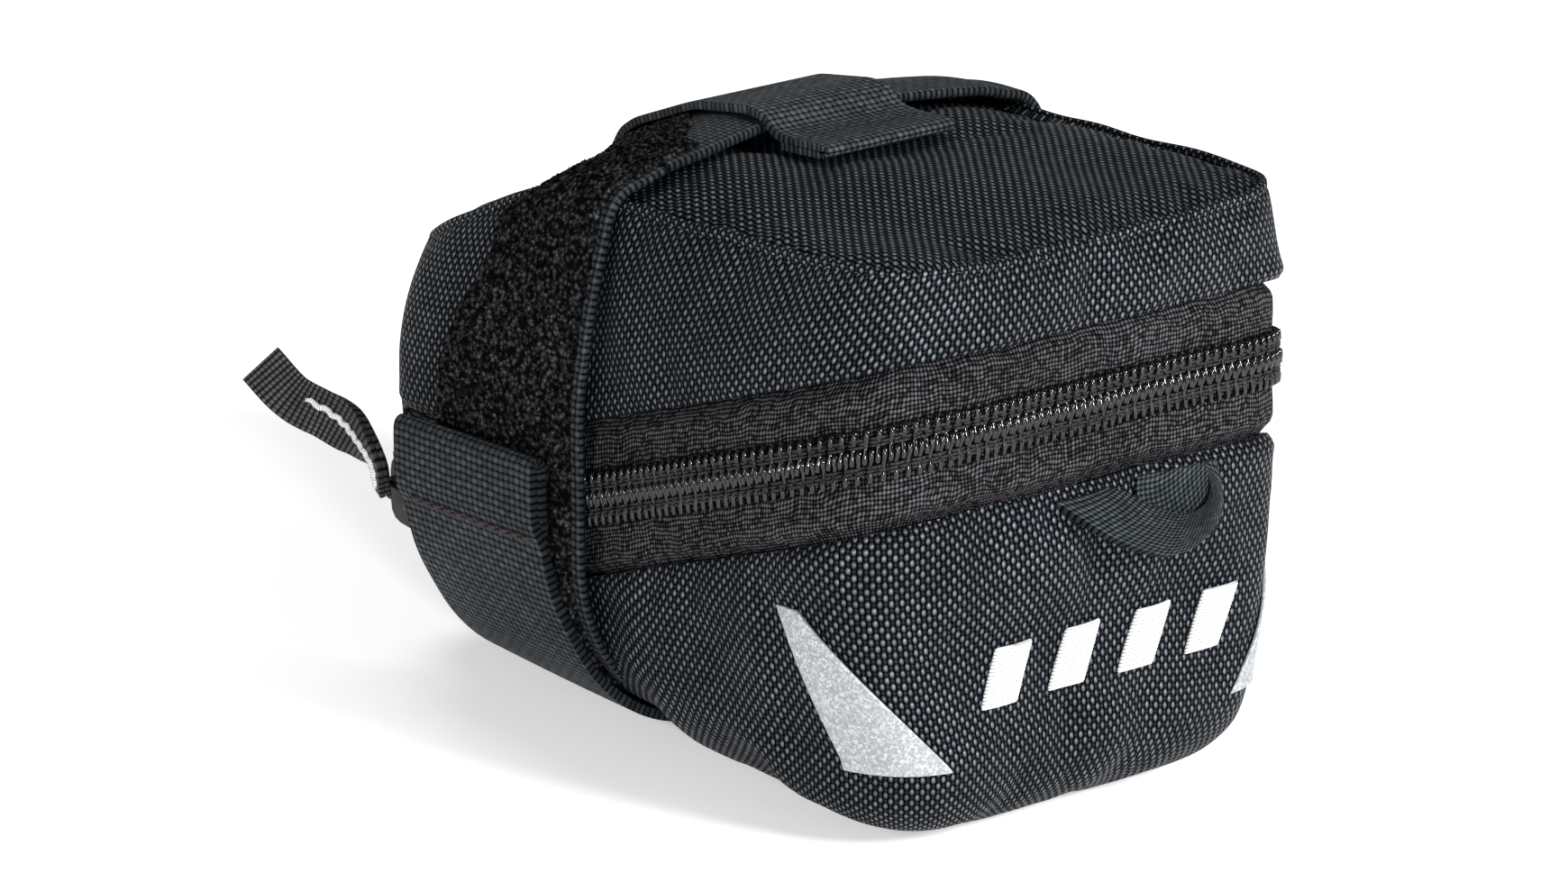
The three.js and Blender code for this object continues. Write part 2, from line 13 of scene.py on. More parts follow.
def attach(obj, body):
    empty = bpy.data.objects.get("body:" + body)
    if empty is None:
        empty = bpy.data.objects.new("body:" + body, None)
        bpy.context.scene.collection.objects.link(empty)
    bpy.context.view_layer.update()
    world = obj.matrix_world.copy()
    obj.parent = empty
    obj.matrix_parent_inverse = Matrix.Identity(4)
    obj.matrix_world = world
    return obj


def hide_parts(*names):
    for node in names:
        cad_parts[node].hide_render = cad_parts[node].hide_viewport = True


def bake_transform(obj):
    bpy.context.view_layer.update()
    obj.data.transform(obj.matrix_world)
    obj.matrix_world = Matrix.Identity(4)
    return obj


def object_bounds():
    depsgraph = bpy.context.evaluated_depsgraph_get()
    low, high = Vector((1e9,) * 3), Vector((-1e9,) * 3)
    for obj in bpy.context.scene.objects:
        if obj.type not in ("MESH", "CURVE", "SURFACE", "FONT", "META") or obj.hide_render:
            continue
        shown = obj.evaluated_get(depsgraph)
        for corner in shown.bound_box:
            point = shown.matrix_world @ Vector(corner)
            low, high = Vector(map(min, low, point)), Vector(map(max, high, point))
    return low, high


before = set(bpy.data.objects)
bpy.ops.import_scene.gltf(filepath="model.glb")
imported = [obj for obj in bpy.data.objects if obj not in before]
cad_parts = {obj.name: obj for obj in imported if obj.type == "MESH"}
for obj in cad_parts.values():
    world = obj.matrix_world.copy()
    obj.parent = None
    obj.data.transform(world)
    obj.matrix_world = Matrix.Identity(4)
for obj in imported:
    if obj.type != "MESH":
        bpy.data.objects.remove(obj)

cad_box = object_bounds()

# ---- driving dimensions of the bag, mm ----
HEIGHT = 70
HALF_WIDTH = 35.2
REAR = 46.9
FRONT = 42.9
WIDEST_Z = 41
BASE_REAR_Y = -40
SLOPE = 0.1
STRAP_RECESS = 1.9
BASE_CENTRE_Y = -21
CROWN = 3.0
FABRIC = 1.2
TAPE_HALF = 9.2
ZIP_END = 46
HINGE_Z = 28.4
STRAP_REAR_Y = -0.6
STRAP_WIDTH = 25
STRAP_X = 36.6
WEBBING = 1.2
BEND = 4.3
SEAM_BACK = 2.6
PILE_TOP_X = -26.2
TAIL_SHIFT = 2.0
TAIL_LEAN = 1.8
SPLIT_Z = 18
LEFT_TURN_Z = 28
TAIL_TURN_Z = 33
FOLD_OUT = 1.1
FOLD_RADIUS = 1.2
FOLD_LOW = 29.8
TAIL_TOP_Z = 40.2
KEEPER_WIDTH = 20
UNDER_Z = 1.4
TAIL_X = 39.6
UNDER_FLAT_X = 18
LINING_OUT = -2.1
CLOTH = 0.6              # thickness of the lining cloth
GAP = 0.3                # clearance between neighbouring pieces
STIFFENER = 1.3
TUCK_SPAN = 32           # height over which the section draws in above and below its widest level
SIDE_TUCK = 3.2
FRONT_TUCK = 4.5
REAR_POWER = 7.3
PANEL_MIDDLE_Y = -2      # where the top and base panels are centred
SHELL_STEP = 0.8         # spacing of the columns, mm
LINING_STEP = 1.6
SEAM_Z = 39.8            # seam under the zip on the rear wall
COIL_PITCH = 1.3
RAD = math.pi / 180
MM = 0.001

TILT = math.atan(SLOPE)
BASE_RISE = SLOPE * (BASE_CENTRE_Y - BASE_REAR_Y)
SHIFT_Y = -BASE_CENTRE_Y * math.cos(TILT) - BASE_RISE * math.sin(TILT)
SHIFT_Z = BASE_CENTRE_Y * math.sin(TILT) - BASE_RISE * math.cos(TILT)


def row(points):
    """Points of the bag's level frame in mm, as points of the row frame in metres."""
    p = np.asarray(points, float)
    c, s = math.cos(TILT), math.sin(TILT)
    y = p[..., 1] * c + p[..., 2] * s + SHIFT_Y
    z = -p[..., 1] * s + p[..., 2] * c + SHIFT_Z
    return np.stack([p[..., 0], y, z], -1) * MM


# ---- the wall's formulas ----
def smooth(x):
    k = np.clip(x, 0, 1)
    return k * k * (3 - 2 * k)


def base_plane(y):
    return SLOPE * (y - BASE_REAR_Y)


def base_z(y):
    return base_plane(y) + STRAP_RECESS * smooth((y + 8) / 6.5)


def top_z(y):
    return HEIGHT - 16 * smooth((y - 3) / 50)


def zip_z(y):
    return 34.97 - 0.3255 * y + 0.004 * np.maximum(y, 0) ** 2


def corner_radius(y):
    return 10.9 + 4.4 * smooth((y + 40) / 60)


def front_power(up):
    return 7.6 - 5 * smooth(up)


def plan(angle, z, inset=0.0):
    """x, y and outward normal of the plan section at a height; angle 0 is the front centre."""
    lift = np.clip((z - WIDEST_Z) / TUCK_SPAN, -1.3, 1.3)
    up = np.maximum(lift, 0)
    down = np.maximum(-lift, 0)
    c, s = np.cos(angle), np.sin(angle)
    a = HALF_WIDTH - SIDE_TUCK * up**2 - 4.3 * down**2 - inset
    rear = REAR + 2.7 * up**2 + 0.8 * down**2 - inset
    front = FRONT - FRONT_TUCK * up**2 - 4.8 * down**2 - inset
    b = np.where(c > 0, front, rear)
    n = np.where(c > 0, front_power(up), REAR_POWER)
    k = (np.abs(c) ** n + np.abs(s) ** n) ** (-1 / n)
    x, y = -a * s * k, b * c * k
    nx = np.sign(x) * np.abs(x / a) ** (n - 1) / a
    ny = np.sign(y) * np.abs(y / b) ** (n - 1) / b
    length = np.hypot(nx, ny)
    return x, y, nx / length, ny / length


def height_at(angle, level_of):
    z = np.full(np.shape(angle), 40.0)
    for _ in range(6):
        z = level_of(plan(angle, z)[1])
    return z


# angle, height, spread in degrees, spread in mm, depth in mm
DENTS = [
    (141, 61, 9, 5, -1.1),
    (160, 64, 14, 4, -0.7),
    (112, 60, 8, 9, 0.5),
    (208, 62, 12, 5, -0.6),
    (113, 22, 8, 12, -0.7),
    (165, 27, 10, 9, 0.5),
    (188, 20, 14, 8, -0.5),
    (225, 24, 10, 12, 0.5),
    (248, 30, 9, 9, -0.6),
    (135, 33, 8, 5, 0.4),
    (300, 30, 12, 10, -0.4),
    (60, 34, 12, 10, -0.4),
]


def sag(angle, z):
    """How far the soft wall stands off its even shape: shallow waves and a few larger dents."""
    degrees = np.mod(angle / RAD, 360)
    waves = 0.22 * np.sin(7 * angle + z / 9 + 1.3) + 0.16 * np.sin(11 * angle - z / 6)
    waves = waves + 0.1 * np.sin(19 * angle + z / 4.3 + 0.6)
    for at, height, wide, tall, depth in DENTS:
        waves = waves + depth * np.exp(-(((degrees - at) / wide) ** 2) - ((z - height) / tall) ** 2)
    return waves


def wall(angle, z, out=0.0, soft=1.0):
    x, y, nx, ny = plan(angle, z)
    out = out + soft * sag(angle, z)
    return np.stack(np.broadcast_arrays(x + nx * out, y + ny * out, z), -1)


def corner_at(angle):
    r = corner_radius(plan(angle, 12.0)[1])
    fx, fy, _, _ = plan(angle, 12.0, r)
    return r, base_z(fy) + r, fx, fy


def corner(angle, turn, out=0.0, soft=1.0):
    """Point of the rounded bottom corner; turn 0 is the wall tangent and 90 the base tangent."""
    r, centre_z, fx, fy = corner_at(angle)
    side = wall(angle, centre_z, out, soft)
    share = np.cos(turn * RAD)
    x = fx + (side[..., 0] - fx) * share
    y = fy + (side[..., 1] - fy) * share
    return np.stack(np.broadcast_arrays(x, y, centre_z - (r + out) * np.sin(turn * RAD)), -1)


def cup_column(angle, first_turn, high, out, rows, soft=1.0):
    """Evenly spaced points from a turn of the bottom corner up to a level."""
    r, centre_z, _, _ = corner_at(angle)
    last_turn = math.asin(float(np.clip((centre_z - high) / r, 0, 1))) / RAD
    bend = r * (first_turn - last_turn) * RAD
    rise = max(0.0, float(high - centre_z))
    points = []
    for s in np.linspace(0, bend + rise, rows):
        if s > bend + 1e-3:
            points.append(wall(angle, centre_z + s - bend, out, soft))
        else:
            points.append(corner(angle, first_turn - s / (r * RAD), out, soft))
    return np.array(points)


def arc_angles(start, end, step=1.0):
    """Angles in radians that divide the widest outline evenly, about step mm apart."""
    table = np.linspace(start, end, 2000) * RAD
    x, y, _, _ = plan(table, float(WIDEST_Z))
    along = np.concatenate([[0], np.cumsum(np.hypot(np.diff(x), np.diff(y)))])
    count = max(2, int(round(along[-1] / step)) + 1)
    return np.interp(np.linspace(0, along[-1], count), along, table)


def ring_angles(step=1.0):
    return arc_angles(0, 360, step)[:-1]


def rear_angle(x):
    return (180 + math.atan(x / HALF_WIDTH) / RAD) * RAD


# ---- polylines ----
def unit(v):
    return v / np.maximum(np.linalg.norm(v, axis=-1, keepdims=True), 1e-12)


def lengths(path):
    """Distance along a polyline, at each of its points."""
    return np.concatenate([[0], np.cumsum(np.linalg.norm(np.diff(path, axis=0), axis=-1))])


def sample(path, along, at):
    """A polyline with the distances along it, read at other distances."""
    return np.stack([np.interp(at, along, path[:, k]) for k in range(path.shape[1])], -1)


def soften(points, times=1):
    """Draws each inner point towards its neighbours."""
    for _ in range(times):
        points[1:-1] = (points[:-2] + 2 * points[1:-1] + points[2:]) / 4
    return points


def redraw(path, count, times):
    """The polyline with smooth, evenly spaced points."""
    path = np.asarray(path, float)
    along = lengths(path)
    return soften(sample(path, along, np.linspace(0, along[-1], count)), times)


def smooth_path(stations, count):
    """Catmull-Rom curve through the stations."""
    p = np.asarray(stations, float)
    ends = np.concatenate([[2 * p[0] - p[1]], p, [2 * p[-1] - p[-2]]])
    result = []
    for value in np.linspace(0, len(p) - 1, count):
        i = min(int(value), len(p) - 2)
        t = value - i
        a, b, c, d = ends[i : i + 4]
        result.append(0.5 * (2 * b + (c - a) * t + (2 * a - 5 * b + 4 * c - d) * t**2
                             + (3 * b - a - 3 * c + d) * t**3))
    return np.array(result)


# ---- meshes from grids ----

def grid_normals(p, closed=False):
    du = np.roll(p, -1, 0) - np.roll(p, 1, 0) if closed else np.gradient(p, axis=0)
    dv = np.gradient(p, axis=1)
    return unit(np.cross(du, dv))


def grid_quads(columns, rows, closed):
    """Corner indices of the quads, and the same with the closing column counted as a new one."""
    count = columns if closed else columns - 1
    i = np.arange(count)[:, None]
    j = np.arange(rows - 1)[None, :]
    after = (i + 1) % columns
    quads = np.stack([i * rows + j, after * rows + j, after * rows + j + 1, i * rows + j + 1], -1)
    plain = np.stack([i * rows + j, (i + 1) * rows + j, (i + 1) * rows + j + 1, i * rows + j + 1], -1)
    return quads.reshape(-1, 4), plain.reshape(-1, 4)


def grid_uv(p, closed):
    """Distance along the columns' middle row and up each column, in mm."""
    if closed:
        p = np.concatenate([p, p[:1]])
    u = lengths(p[:, p.shape[1] // 2])
    v = np.cumsum(np.linalg.norm(np.diff(p, axis=1), axis=-1), axis=1)
    v = np.concatenate([np.zeros((len(p), 1)), v], 1)
    return np.stack([np.repeat(u[:, None], p.shape[1], 1), v], -1)


SIM_SCALE = 0.02         # the panels are simulated about as large as a person's clothes
SIM_FRAMES = 18
SIM_STEP = 3             # every third grid point takes part


def fill(values, at, count):
    """Values known at some places along the first axis, worked out at all of its places."""
    flat = sample(values.reshape(len(at), -1), at, np.arange(count))
    return flat.reshape(count, *values.shape[1:])


def drape(grid, held, growth=0.02, pressure=1.2, cap=1.3):
    """Cloth simulation of a sewn panel, cut a little larger than its outline and held where the
    mask says; the grid comes back with the folds, none deeper than cap mm."""
    columns, rows = grid.shape[:2]
    i = np.unique(np.append(np.arange(0, columns, SIM_STEP), columns - 1))
    j = np.unique(np.append(np.arange(0, rows, SIM_STEP), rows - 1))
    coarse = grid[np.ix_(i, j)]
    fixed = held[np.ix_(i, j)].copy()
    fixed[0] = fixed[-1] = True
    fixed[:, 0] = fixed[:, -1] = True
    quads, _ = grid_quads(len(i), len(j), False)
    mesh = bpy.data.meshes.new("drape")
    mesh.from_pydata((coarse.reshape(-1, 3) * SIM_SCALE).tolist(), [], quads.tolist())
    obj = bpy.data.objects.new("drape", mesh)
    bpy.context.scene.collection.objects.link(obj)
    pins = obj.vertex_groups.new(name="sewn")
    pins.add(np.flatnonzero(fixed.ravel()).tolist(), 1.0, "REPLACE")
    cloth = obj.modifiers.new("cloth", "CLOTH")
    cloth.settings.vertex_group_mass = "sewn"
    cloth.settings.shrink_min = -growth
    cloth.settings.use_pressure = True
    cloth.settings.uniform_pressure_force = pressure
    cloth.settings.quality = 6
    cloth.settings.effector_weights.gravity = 0
    cloth.point_cache.frame_end = SIM_FRAMES
    for number in range(1, SIM_FRAMES + 1):
        bpy.context.scene.frame_set(number)
    graph = bpy.context.evaluated_depsgraph_get()
    settled = obj.evaluated_get(graph).data
    points = np.zeros(len(settled.vertices) * 3, np.float32)
    settled.vertices.foreach_get("co", points)
    move = points.reshape(coarse.shape) / SIM_SCALE - coarse
    length = np.linalg.norm(move, axis=-1, keepdims=True)
    move = move * np.minimum(1, cap / np.maximum(length, 1e-6))
    bpy.context.scene.frame_set(1)
    bpy.data.objects.remove(obj)
    full = fill(fill(move, i, columns).transpose(1, 0, 2), j, rows).transpose(1, 0, 2)
    for _ in range(2):
        soften(full)
        soften(full.transpose(1, 0, 2))
    return grid + full


def mesh_object(name, points, faces, uv, material):
    """Object in the row frame from points in mm of the level frame, with its weave coordinates."""
    mesh = bpy.data.meshes.new(name)
    mesh.from_pydata(row(points).tolist(), [], [list(map(int, f)) for f in faces])
    layer = mesh.uv_layers.new(name="weave")
    layer.data.foreach_set("uv", np.asarray(uv, np.float32).ravel())
    mesh.polygons.foreach_set("use_smooth", [True] * len(mesh.polygons))
    mesh.materials.append(material)
    obj = bpy.data.objects.new(name, mesh)
    bpy.context.scene.collection.objects.link(obj)
    return obj


def slab(name, outer, thickness, material, closed=False, uv=None, edge=0.4):
    """Closed sheet whose outer face is a grid [column][row]; its rims are rounded by edge mm."""
    outer = np.asarray(outer, float)
    columns, rows = outer.shape[:2]
    inner = outer - grid_normals(outer, closed) * thickness
    quads, plain = grid_quads(columns, rows, closed)
    size = columns * rows
    if uv is None:
        uv = grid_uv(outer, closed)
    flat_uv = uv.reshape(-1, 2)
    faces = [quads, quads[:, ::-1] + size]
    corners = [plain, plain[:, ::-1]]
    span = np.arange(columns if closed else columns - 1)
    after = (span + 1) % columns
    for end, order in ((0, (3, 2, 1, 0)), (rows - 1, (0, 1, 2, 3))):
        here, there = span * rows + end, after * rows + end
        rim = np.stack([here, there, there + size, here + size], -1)
        faces.append(rim[:, order])
        flat = np.stack([here, (span + 1) * rows + end] * 2, -1)[:, [0, 1, 3, 2]]
        corners.append(flat[:, order])
    if not closed:
        j = np.arange(rows - 1)
        for start, order in ((0, (0, 1, 2, 3)), ((columns - 1) * rows, (3, 2, 1, 0))):
            rim = np.stack([start + j, start + j + 1, start + j + 1 + size, start + j + size], -1)
            faces.append(rim[:, order])
            flat = np.stack([start + j, start + j + 1, start + j + 1, start + j], -1)
            corners.append(flat[:, order])
    points = np.concatenate([outer.reshape(-1, 3), inner.reshape(-1, 3)])
    corner_uv = flat_uv[np.concatenate(corners)].reshape(-1, 2)
    obj = mesh_object(name, points, np.concatenate(faces), corner_uv, material)
    if edge:
        round_edges(obj, min(edge, thickness * 0.45))
    return obj


def round_edges(obj, width, angle=50, segments=2):
    bevel = obj.modifiers.new("rounded_edges", "BEVEL")
    bevel.width = width * MM
    bevel.segments = segments
    bevel.limit_method = "ANGLE"
    bevel.angle_limit = angle * RAD


def tubes(name, paths, radius, material, sides=8, flat=1.0, ups=None):
    """One object of closed tubes along polylines in mm, with tapered ends; flat squeezes them."""
    points, faces, uvs = [], [], []
    for index, path in enumerate(paths):
        path = np.asarray(path, float)
        tangent = unit(np.gradient(path, axis=0))
        up = np.array([0.0, 0.0, 1.0]) if ups is None else np.asarray(ups[index], float)
        side = unit(np.cross(tangent, np.broadcast_to(up, path.shape)))
        lift = unit(np.cross(side, tangent))
        rings = len(path)
        start = len(points)
        for k in range(rings):
            end = min(k, rings - 1 - k)
            r = radius * (0.55 if end == 0 else 0.88 if end == 1 else 1.0)
            for s in range(sides):
                turn = 2 * math.pi * s / sides
                offset = side[k] * math.cos(turn) * r + lift[k] * math.sin(turn) * r * flat
                points.append(path[k] + offset)
        for k in range(rings - 1):
            for s in range(sides):
                t = (s + 1) % sides
                a, b = start + k * sides, start + (k + 1) * sides
                faces.append((a + s, a + t, b + t, b + s))
                uvs += [(s, k), (s + 1, k), (s + 1, k + 1), (s, k + 1)]
        last = start + (rings - 1) * sides
        faces.append(tuple(start + s for s in reversed(range(sides))))
        faces.append(tuple(last + s for s in range(sides)))
        uvs += [(0, 0)] * sides + [(0, rings)] * sides
    return mesh_object(name, np.array(points), faces, np.array(uvs, float), material)


def stitches(name, path, outs, material, pitch=2.6, share=0.74, radius=0.24):
    """A sewn line: short thread bumps along a polyline, each dipping into the cloth at its ends."""
    path, outs = np.asarray(path, float), np.asarray(outs, float)
    along = lengths(path)
    runs, ups = [], []
    for i in range(int(along[-1] // pitch)):
        s = i * pitch + np.linspace(0, pitch * share, 6)
        out = sample(outs, along, s)
        rise = np.sin(np.linspace(0, math.pi, 6)) * radius * 1.1 - radius * 0.45
        runs.append(sample(path, along, s) + unit(out) * rise[:, None])
        ups.append(unit(out[3]))
    return tubes(name, runs, radius, material, 6, 0.8, ups)


# ---- procedural materials ----
class Finish:
    """A material under construction, with short ways to add nodes."""

    def __init__(self, name):
        self.material = bpy.data.materials.new(name)
        self.material.use_nodes = True
        self.tree = self.material.node_tree
        self.tree.nodes.clear()
        self.shader = self.node("ShaderNodeBsdfPrincipled")
        output = self.node("ShaderNodeOutputMaterial")
        self.tree.links.new(self.shader.outputs[0], output.inputs["Surface"])

    def put(self, socket, value):
        if isinstance(value, bpy.types.NodeSocket):
            self.tree.links.new(value, socket)
        elif value is not None:
            socket.default_value = value

    def node(self, kind, inputs=(), **settings):
        made = self.tree.nodes.new(kind)
        for key, value in settings.items():
            setattr(made, key, value)
        for key, value in dict(inputs).items():
            self.put(made.inputs[key], value)
        return made

    def math(self, operation, a, b=None, c=None):
        made = self.node("ShaderNodeMath", operation=operation)
        for socket, value in zip(made.inputs, (a, b, c)):
            self.put(socket, value)
        return made.outputs[0]

    def mix(self, factor, a, b):
        made = self.node("ShaderNodeMix", data_type="RGBA")
        self.put(made.inputs["Factor"], factor)
        for socket, tone in (("A", a), ("B", b)):
            self.put(made.inputs[socket], colour(*tone) if isinstance(tone, tuple) else tone)
        return made.outputs["Result"]

    def times(self, a, b):
        return self.math("MULTIPLY", a, b)

    def plus(self, a, b):
        return self.math("ADD", a, b)

    def mottle(self, scale, detail, low, high):
        """Cloudy number between low and high."""
        return self.range(self.noise(scale, detail), 0.3, 0.7, low, high)

    def noise(self, scale, detail=2.0, rough=0.5, vector=None):
        inputs = {"Scale": scale, "Detail": detail, "Roughness": rough}
        made = self.node("ShaderNodeTexNoise", inputs)
        self.put(made.inputs["Vector"], vector if vector is not None else self.place())
        return made.outputs["Fac"]

    def place(self):
        return self.node("ShaderNodeTexCoord").outputs["Object"]

    def uv(self):
        made = self.node("ShaderNodeUVMap", uv_map="weave")
        apart = self.node("ShaderNodeSeparateXYZ", {"Vector": made.outputs[0]})
        return apart.outputs[0], apart.outputs[1]

    def range(self, value, low, high, to_low=0.0, to_high=1.0):
        inputs = {"Value": value, "From Min": low, "From Max": high}
        inputs.update({"To Min": to_low, "To Max": to_high})
        return self.node("ShaderNodeMapRange", inputs).outputs[0]

    def bump(self, height, distance, strength=1.0, normal=None):
        inputs = {"Height": height, "Distance": distance * MM, "Strength": strength}
        made = self.node("ShaderNodeBump", inputs)
        if normal is not None:
            self.put(made.inputs["Normal"], normal)
        return made.outputs[0]

    def finish(self, **inputs):
        for key, value in inputs.items():
            self.put(self.shader.inputs[key.replace("_", " ")], value)
        return self.material

    def round_yarn(self, position):
        """Height of round yarns side by side at a position counted in yarns."""
        f = self.times(self.math("SUBTRACT", self.math("FRACT", position), 0.5), 2.0)
        inside = self.math("SUBTRACT", 1.0, self.times(f, f))
        return self.math("SQRT", self.math("MAXIMUM", inside, 0.0))

    def weave(self, pitch_u, pitch_v, swing=0.45, lower_weft=0.0, waver=0.12):
        """Plain weave: height, and a number that differs from yarn crossing to yarn crossing."""
        u, v = self.uv()
        drift = self.times(self.math("SUBTRACT", self.noise(260.0, 1.0), 0.5), waver)
        p = self.plus(self.math("DIVIDE", u, pitch_u), drift)
        q = self.plus(self.math("DIVIDE", v, pitch_v), drift)
        i, j = self.math("FLOOR", p), self.math("FLOOR", q)
        over = self.math("SINE", self.times(self.plus(q, i), math.pi))
        under = self.math("SINE", self.times(self.plus(p, j), math.pi))
        warp = self.math("MULTIPLY_ADD", over, swing, self.round_yarn(p))
        weft = self.math("MULTIPLY_ADD", under, -swing, self.round_yarn(q))
        weft = self.math("SUBTRACT", weft, lower_weft)
        height = self.math("MAXIMUM", warp, weft)
        cell = self.node("ShaderNodeCombineXYZ", {0: i, 1: j}).outputs[0]
        random = self.node("ShaderNodeTexWhiteNoise", {"Vector": cell}, noise_dimensions="3D")
        return height, random.outputs["Value"]


def colour(r, g, b):
    return (r, g, b, 1.0)


def woven(name, dark, light, pitch_u, pitch_v, depth, lower_weft, rough=0.62, fuzz=0.03,
          waver=0.12, gloss=0.5, crisp=2.2, mottle=0.3):
    """Woven synthetic cloth: painted highlight on the yarn crowns and painted shade between the yarns, with
    worn patches.
    """
    f = Finish(name)
    height, random = f.weave(pitch_u, pitch_v, 0.45, lower_weft, waver)
    # Painted highlight and shade: the colour follows the yarn height, light on the crowns and dark in the
    # gaps.
    crown = f.math("POWER", f.range(height, 0.4, 1.35), crisp)
    patch = f.range(f.noise(55.0, 3.0), 0.35, 0.7, 0.8, 1.18)
    uneven = f.range(random, 0, 1, 0.95 - mottle, 0.95 + mottle)
    tone = f.times(f.times(crown, uneven), patch)
    base = f.mix(tone, dark, light)
    fine = f.noise(2600.0, 2.0, 0.7)
    normal = f.bump(height, depth, 1.0, f.bump(fine, fuzz, 0.8))
    roughness = f.range(f.plus(tone, fine), 0, 2, rough + 0.16, rough - 0.12)
    return f.finish(Base_Color=base, Roughness=roughness, Normal=normal,
                    Specular_IOR_Level=f.times(tone, gloss))


def grosgrain(name, dark, light, pitch):
    """Narrow ribbon with ribs across it."""
    f = Finish(name)
    ribs, picks = f.uv()
    rib = f.round_yarn(f.math("DIVIDE", ribs, pitch))
    offset = f.math("FLOOR", f.math("DIVIDE", ribs, pitch))
    pick = f.round_yarn(f.plus(f.math("DIVIDE", picks, pitch * 0.8), offset))
    height = f.math("MULTIPLY_ADD", pick, 0.35, rib)
    worn = f.mottle(400.0, 3.0, 0.7, 1.25)
    # Painted highlight on the rib crowns and painted shade in the grooves between them: the colour follows
    # the rib height.
    tone = f.times(f.math("POWER", f.range(height, 0.3, 1.35), 1.8), worn)
    base = f.mix(tone, dark, light)
    normal = f.bump(height, 0.25, 1.0, f.bump(f.noise(2600.0, 2.0), 0.03, 0.8))
    return f.finish(Base_Color=base, Roughness=0.6, Normal=normal,
                    Specular_IOR_Level=f.times(tone, 0.6))


def pile(name):
    """Loop pile: tangled fuzzy fibres, brownish black, with painted highlight on the loop tops and painted
    shade in the hollows.
    """
    f = Finish(name)
    loops = f.node("ShaderNodeTexVoronoi", {"Scale": 1500.0, "Vector": f.place()}).outputs["Distance"]
    tangle = f.noise(900.0, 5.0, 0.75)
    height = f.math("SUBTRACT", tangle, f.times(loops, 0.6))
    # Painted highlight and shade: the colour follows the pile height.
    tone = f.math("POWER", f.range(height, 0.05, 0.6), 2.2)
    base = f.mix(tone, (0.0022, 0.0022, 0.0024), (0.075, 0.074, 0.078))
    return f.finish(Base_Color=base, Roughness=0.8, Normal=f.bump(height, 0.45, 1.0),
                    Specular_IOR_Level=f.times(tone, 0.5))


def coil_nylon(name):
    f = Finish(name)
    base = f.mix(f.noise(400.0, 3.0), (0.001, 0.001, 0.001), (0.004, 0.004, 0.0045))
    rough = f.mottle(700.0, 2.0, 0.07, 0.13)
    return f.finish(Base_Color=base, Roughness=rough, Normal=f.bump(f.noise(1500.0, 2.0), 0.02, 0.5),
                    Specular_IOR_Level=0.5)


def thread(name, dark, light):
    """Sewing thread: two plies that twist round each other along it."""
    f = Finish(name)
    u, v = f.uv()
    ply = f.round_yarn(f.plus(f.times(v, 0.8), f.times(u, 0.33)))
    # Painted highlight on the ply crowns and painted shade in the grooves between the plies.
    base = f.mix(f.times(ply, f.mottle(300.0, 2.0, 0.7, 1.1)), dark, light)
    return f.finish(Base_Color=base, Roughness=0.6, Normal=f.bump(ply, 0.08, 1.0),
                    Specular_IOR_Level=0.25)


def satin(name):
    """Raised embroidery: close parallel threads across each bar."""
    f = Finish(name)
    _, v = f.uv()
    strand = f.round_yarn(f.plus(f.math("DIVIDE", v, 0.42), f.times(f.noise(500.0), 0.6)))
    # Painted highlight on each thread's crown and painted shade between the threads.
    base = f.mix(f.times(strand, f.mottle(200.0, 3.0, 0.85, 1.05)),
                 (0.27, 0.27, 0.28), (0.74, 0.74, 0.74))
    return f.finish(Base_Color=base, Roughness=0.42, Normal=f.bump(strand, 0.22, 1.0),
                    Sheen_Weight=0.3)


def film(name):
    """Reflective film: glass beads in silver, fine sparkle, a few scuffs that dull it."""
    f = Finish(name)
    beads = f.node("ShaderNodeTexVoronoi", {"Scale": 3600.0, "Vector": f.place()})
    sparkle = f.node("ShaderNodeTexWhiteNoise", {"Vector": beads.outputs["Color"]}).outputs["Value"]
    scuff = f.range(f.noise(120.0, 6.0, 0.7), 0.56, 0.66)
    base = f.mix(f.math("POWER", sparkle, 2.0), (0.22, 0.235, 0.245), (0.43, 0.45, 0.47))
    base = f.mix(f.times(scuff, 0.2), base, (0.25, 0.26, 0.27))
    normal = f.bump(beads.outputs["Distance"], 0.06, 0.7)
    rough = f.range(sparkle, 0, 1, 0.5, 0.28)
    return f.finish(Base_Color=base, Metallic=0.3, Roughness=rough, Normal=normal)


def lining_cloth(name):
    f = Finish(name)
    height, random = f.weave(0.35, 0.35, 0.3)
    fold = f.noise(45.0, 4.0)
    # Painted highlight on the yarn crowns and painted shade between the yarns, with random tone from yarn to
    # yarn.
    base = f.mix(f.times(f.range(height, 0.2, 1.3), f.range(random, 0, 1, 0.8, 1.1)),
                 (0.05, 0.053, 0.058), (0.17, 0.18, 0.195))
    normal = f.bump(height, 0.06, 0.8, f.bump(fold, 1.2, 0.5))
    return f.finish(Base_Color=base, Roughness=0.5, Normal=normal, Sheen_Weight=0.25)


def metal_paint(name):
    f = Finish(name)
    chips = f.range(f.noise(700.0, 6.0, 0.65), 0.62, 0.68)
    base = f.mix(chips, (0.004, 0.004, 0.005), (0.2, 0.2, 0.21))
    rough = f.mottle(350.0, 3.0, 0.24, 0.42)
    return f.finish(Base_Color=base, Metallic=f.times(chips, 0.8), Specular_IOR_Level=0.25,
                    Roughness=rough, Normal=f.bump(f.noise(1200.0, 2.0), 0.02, 0.5))


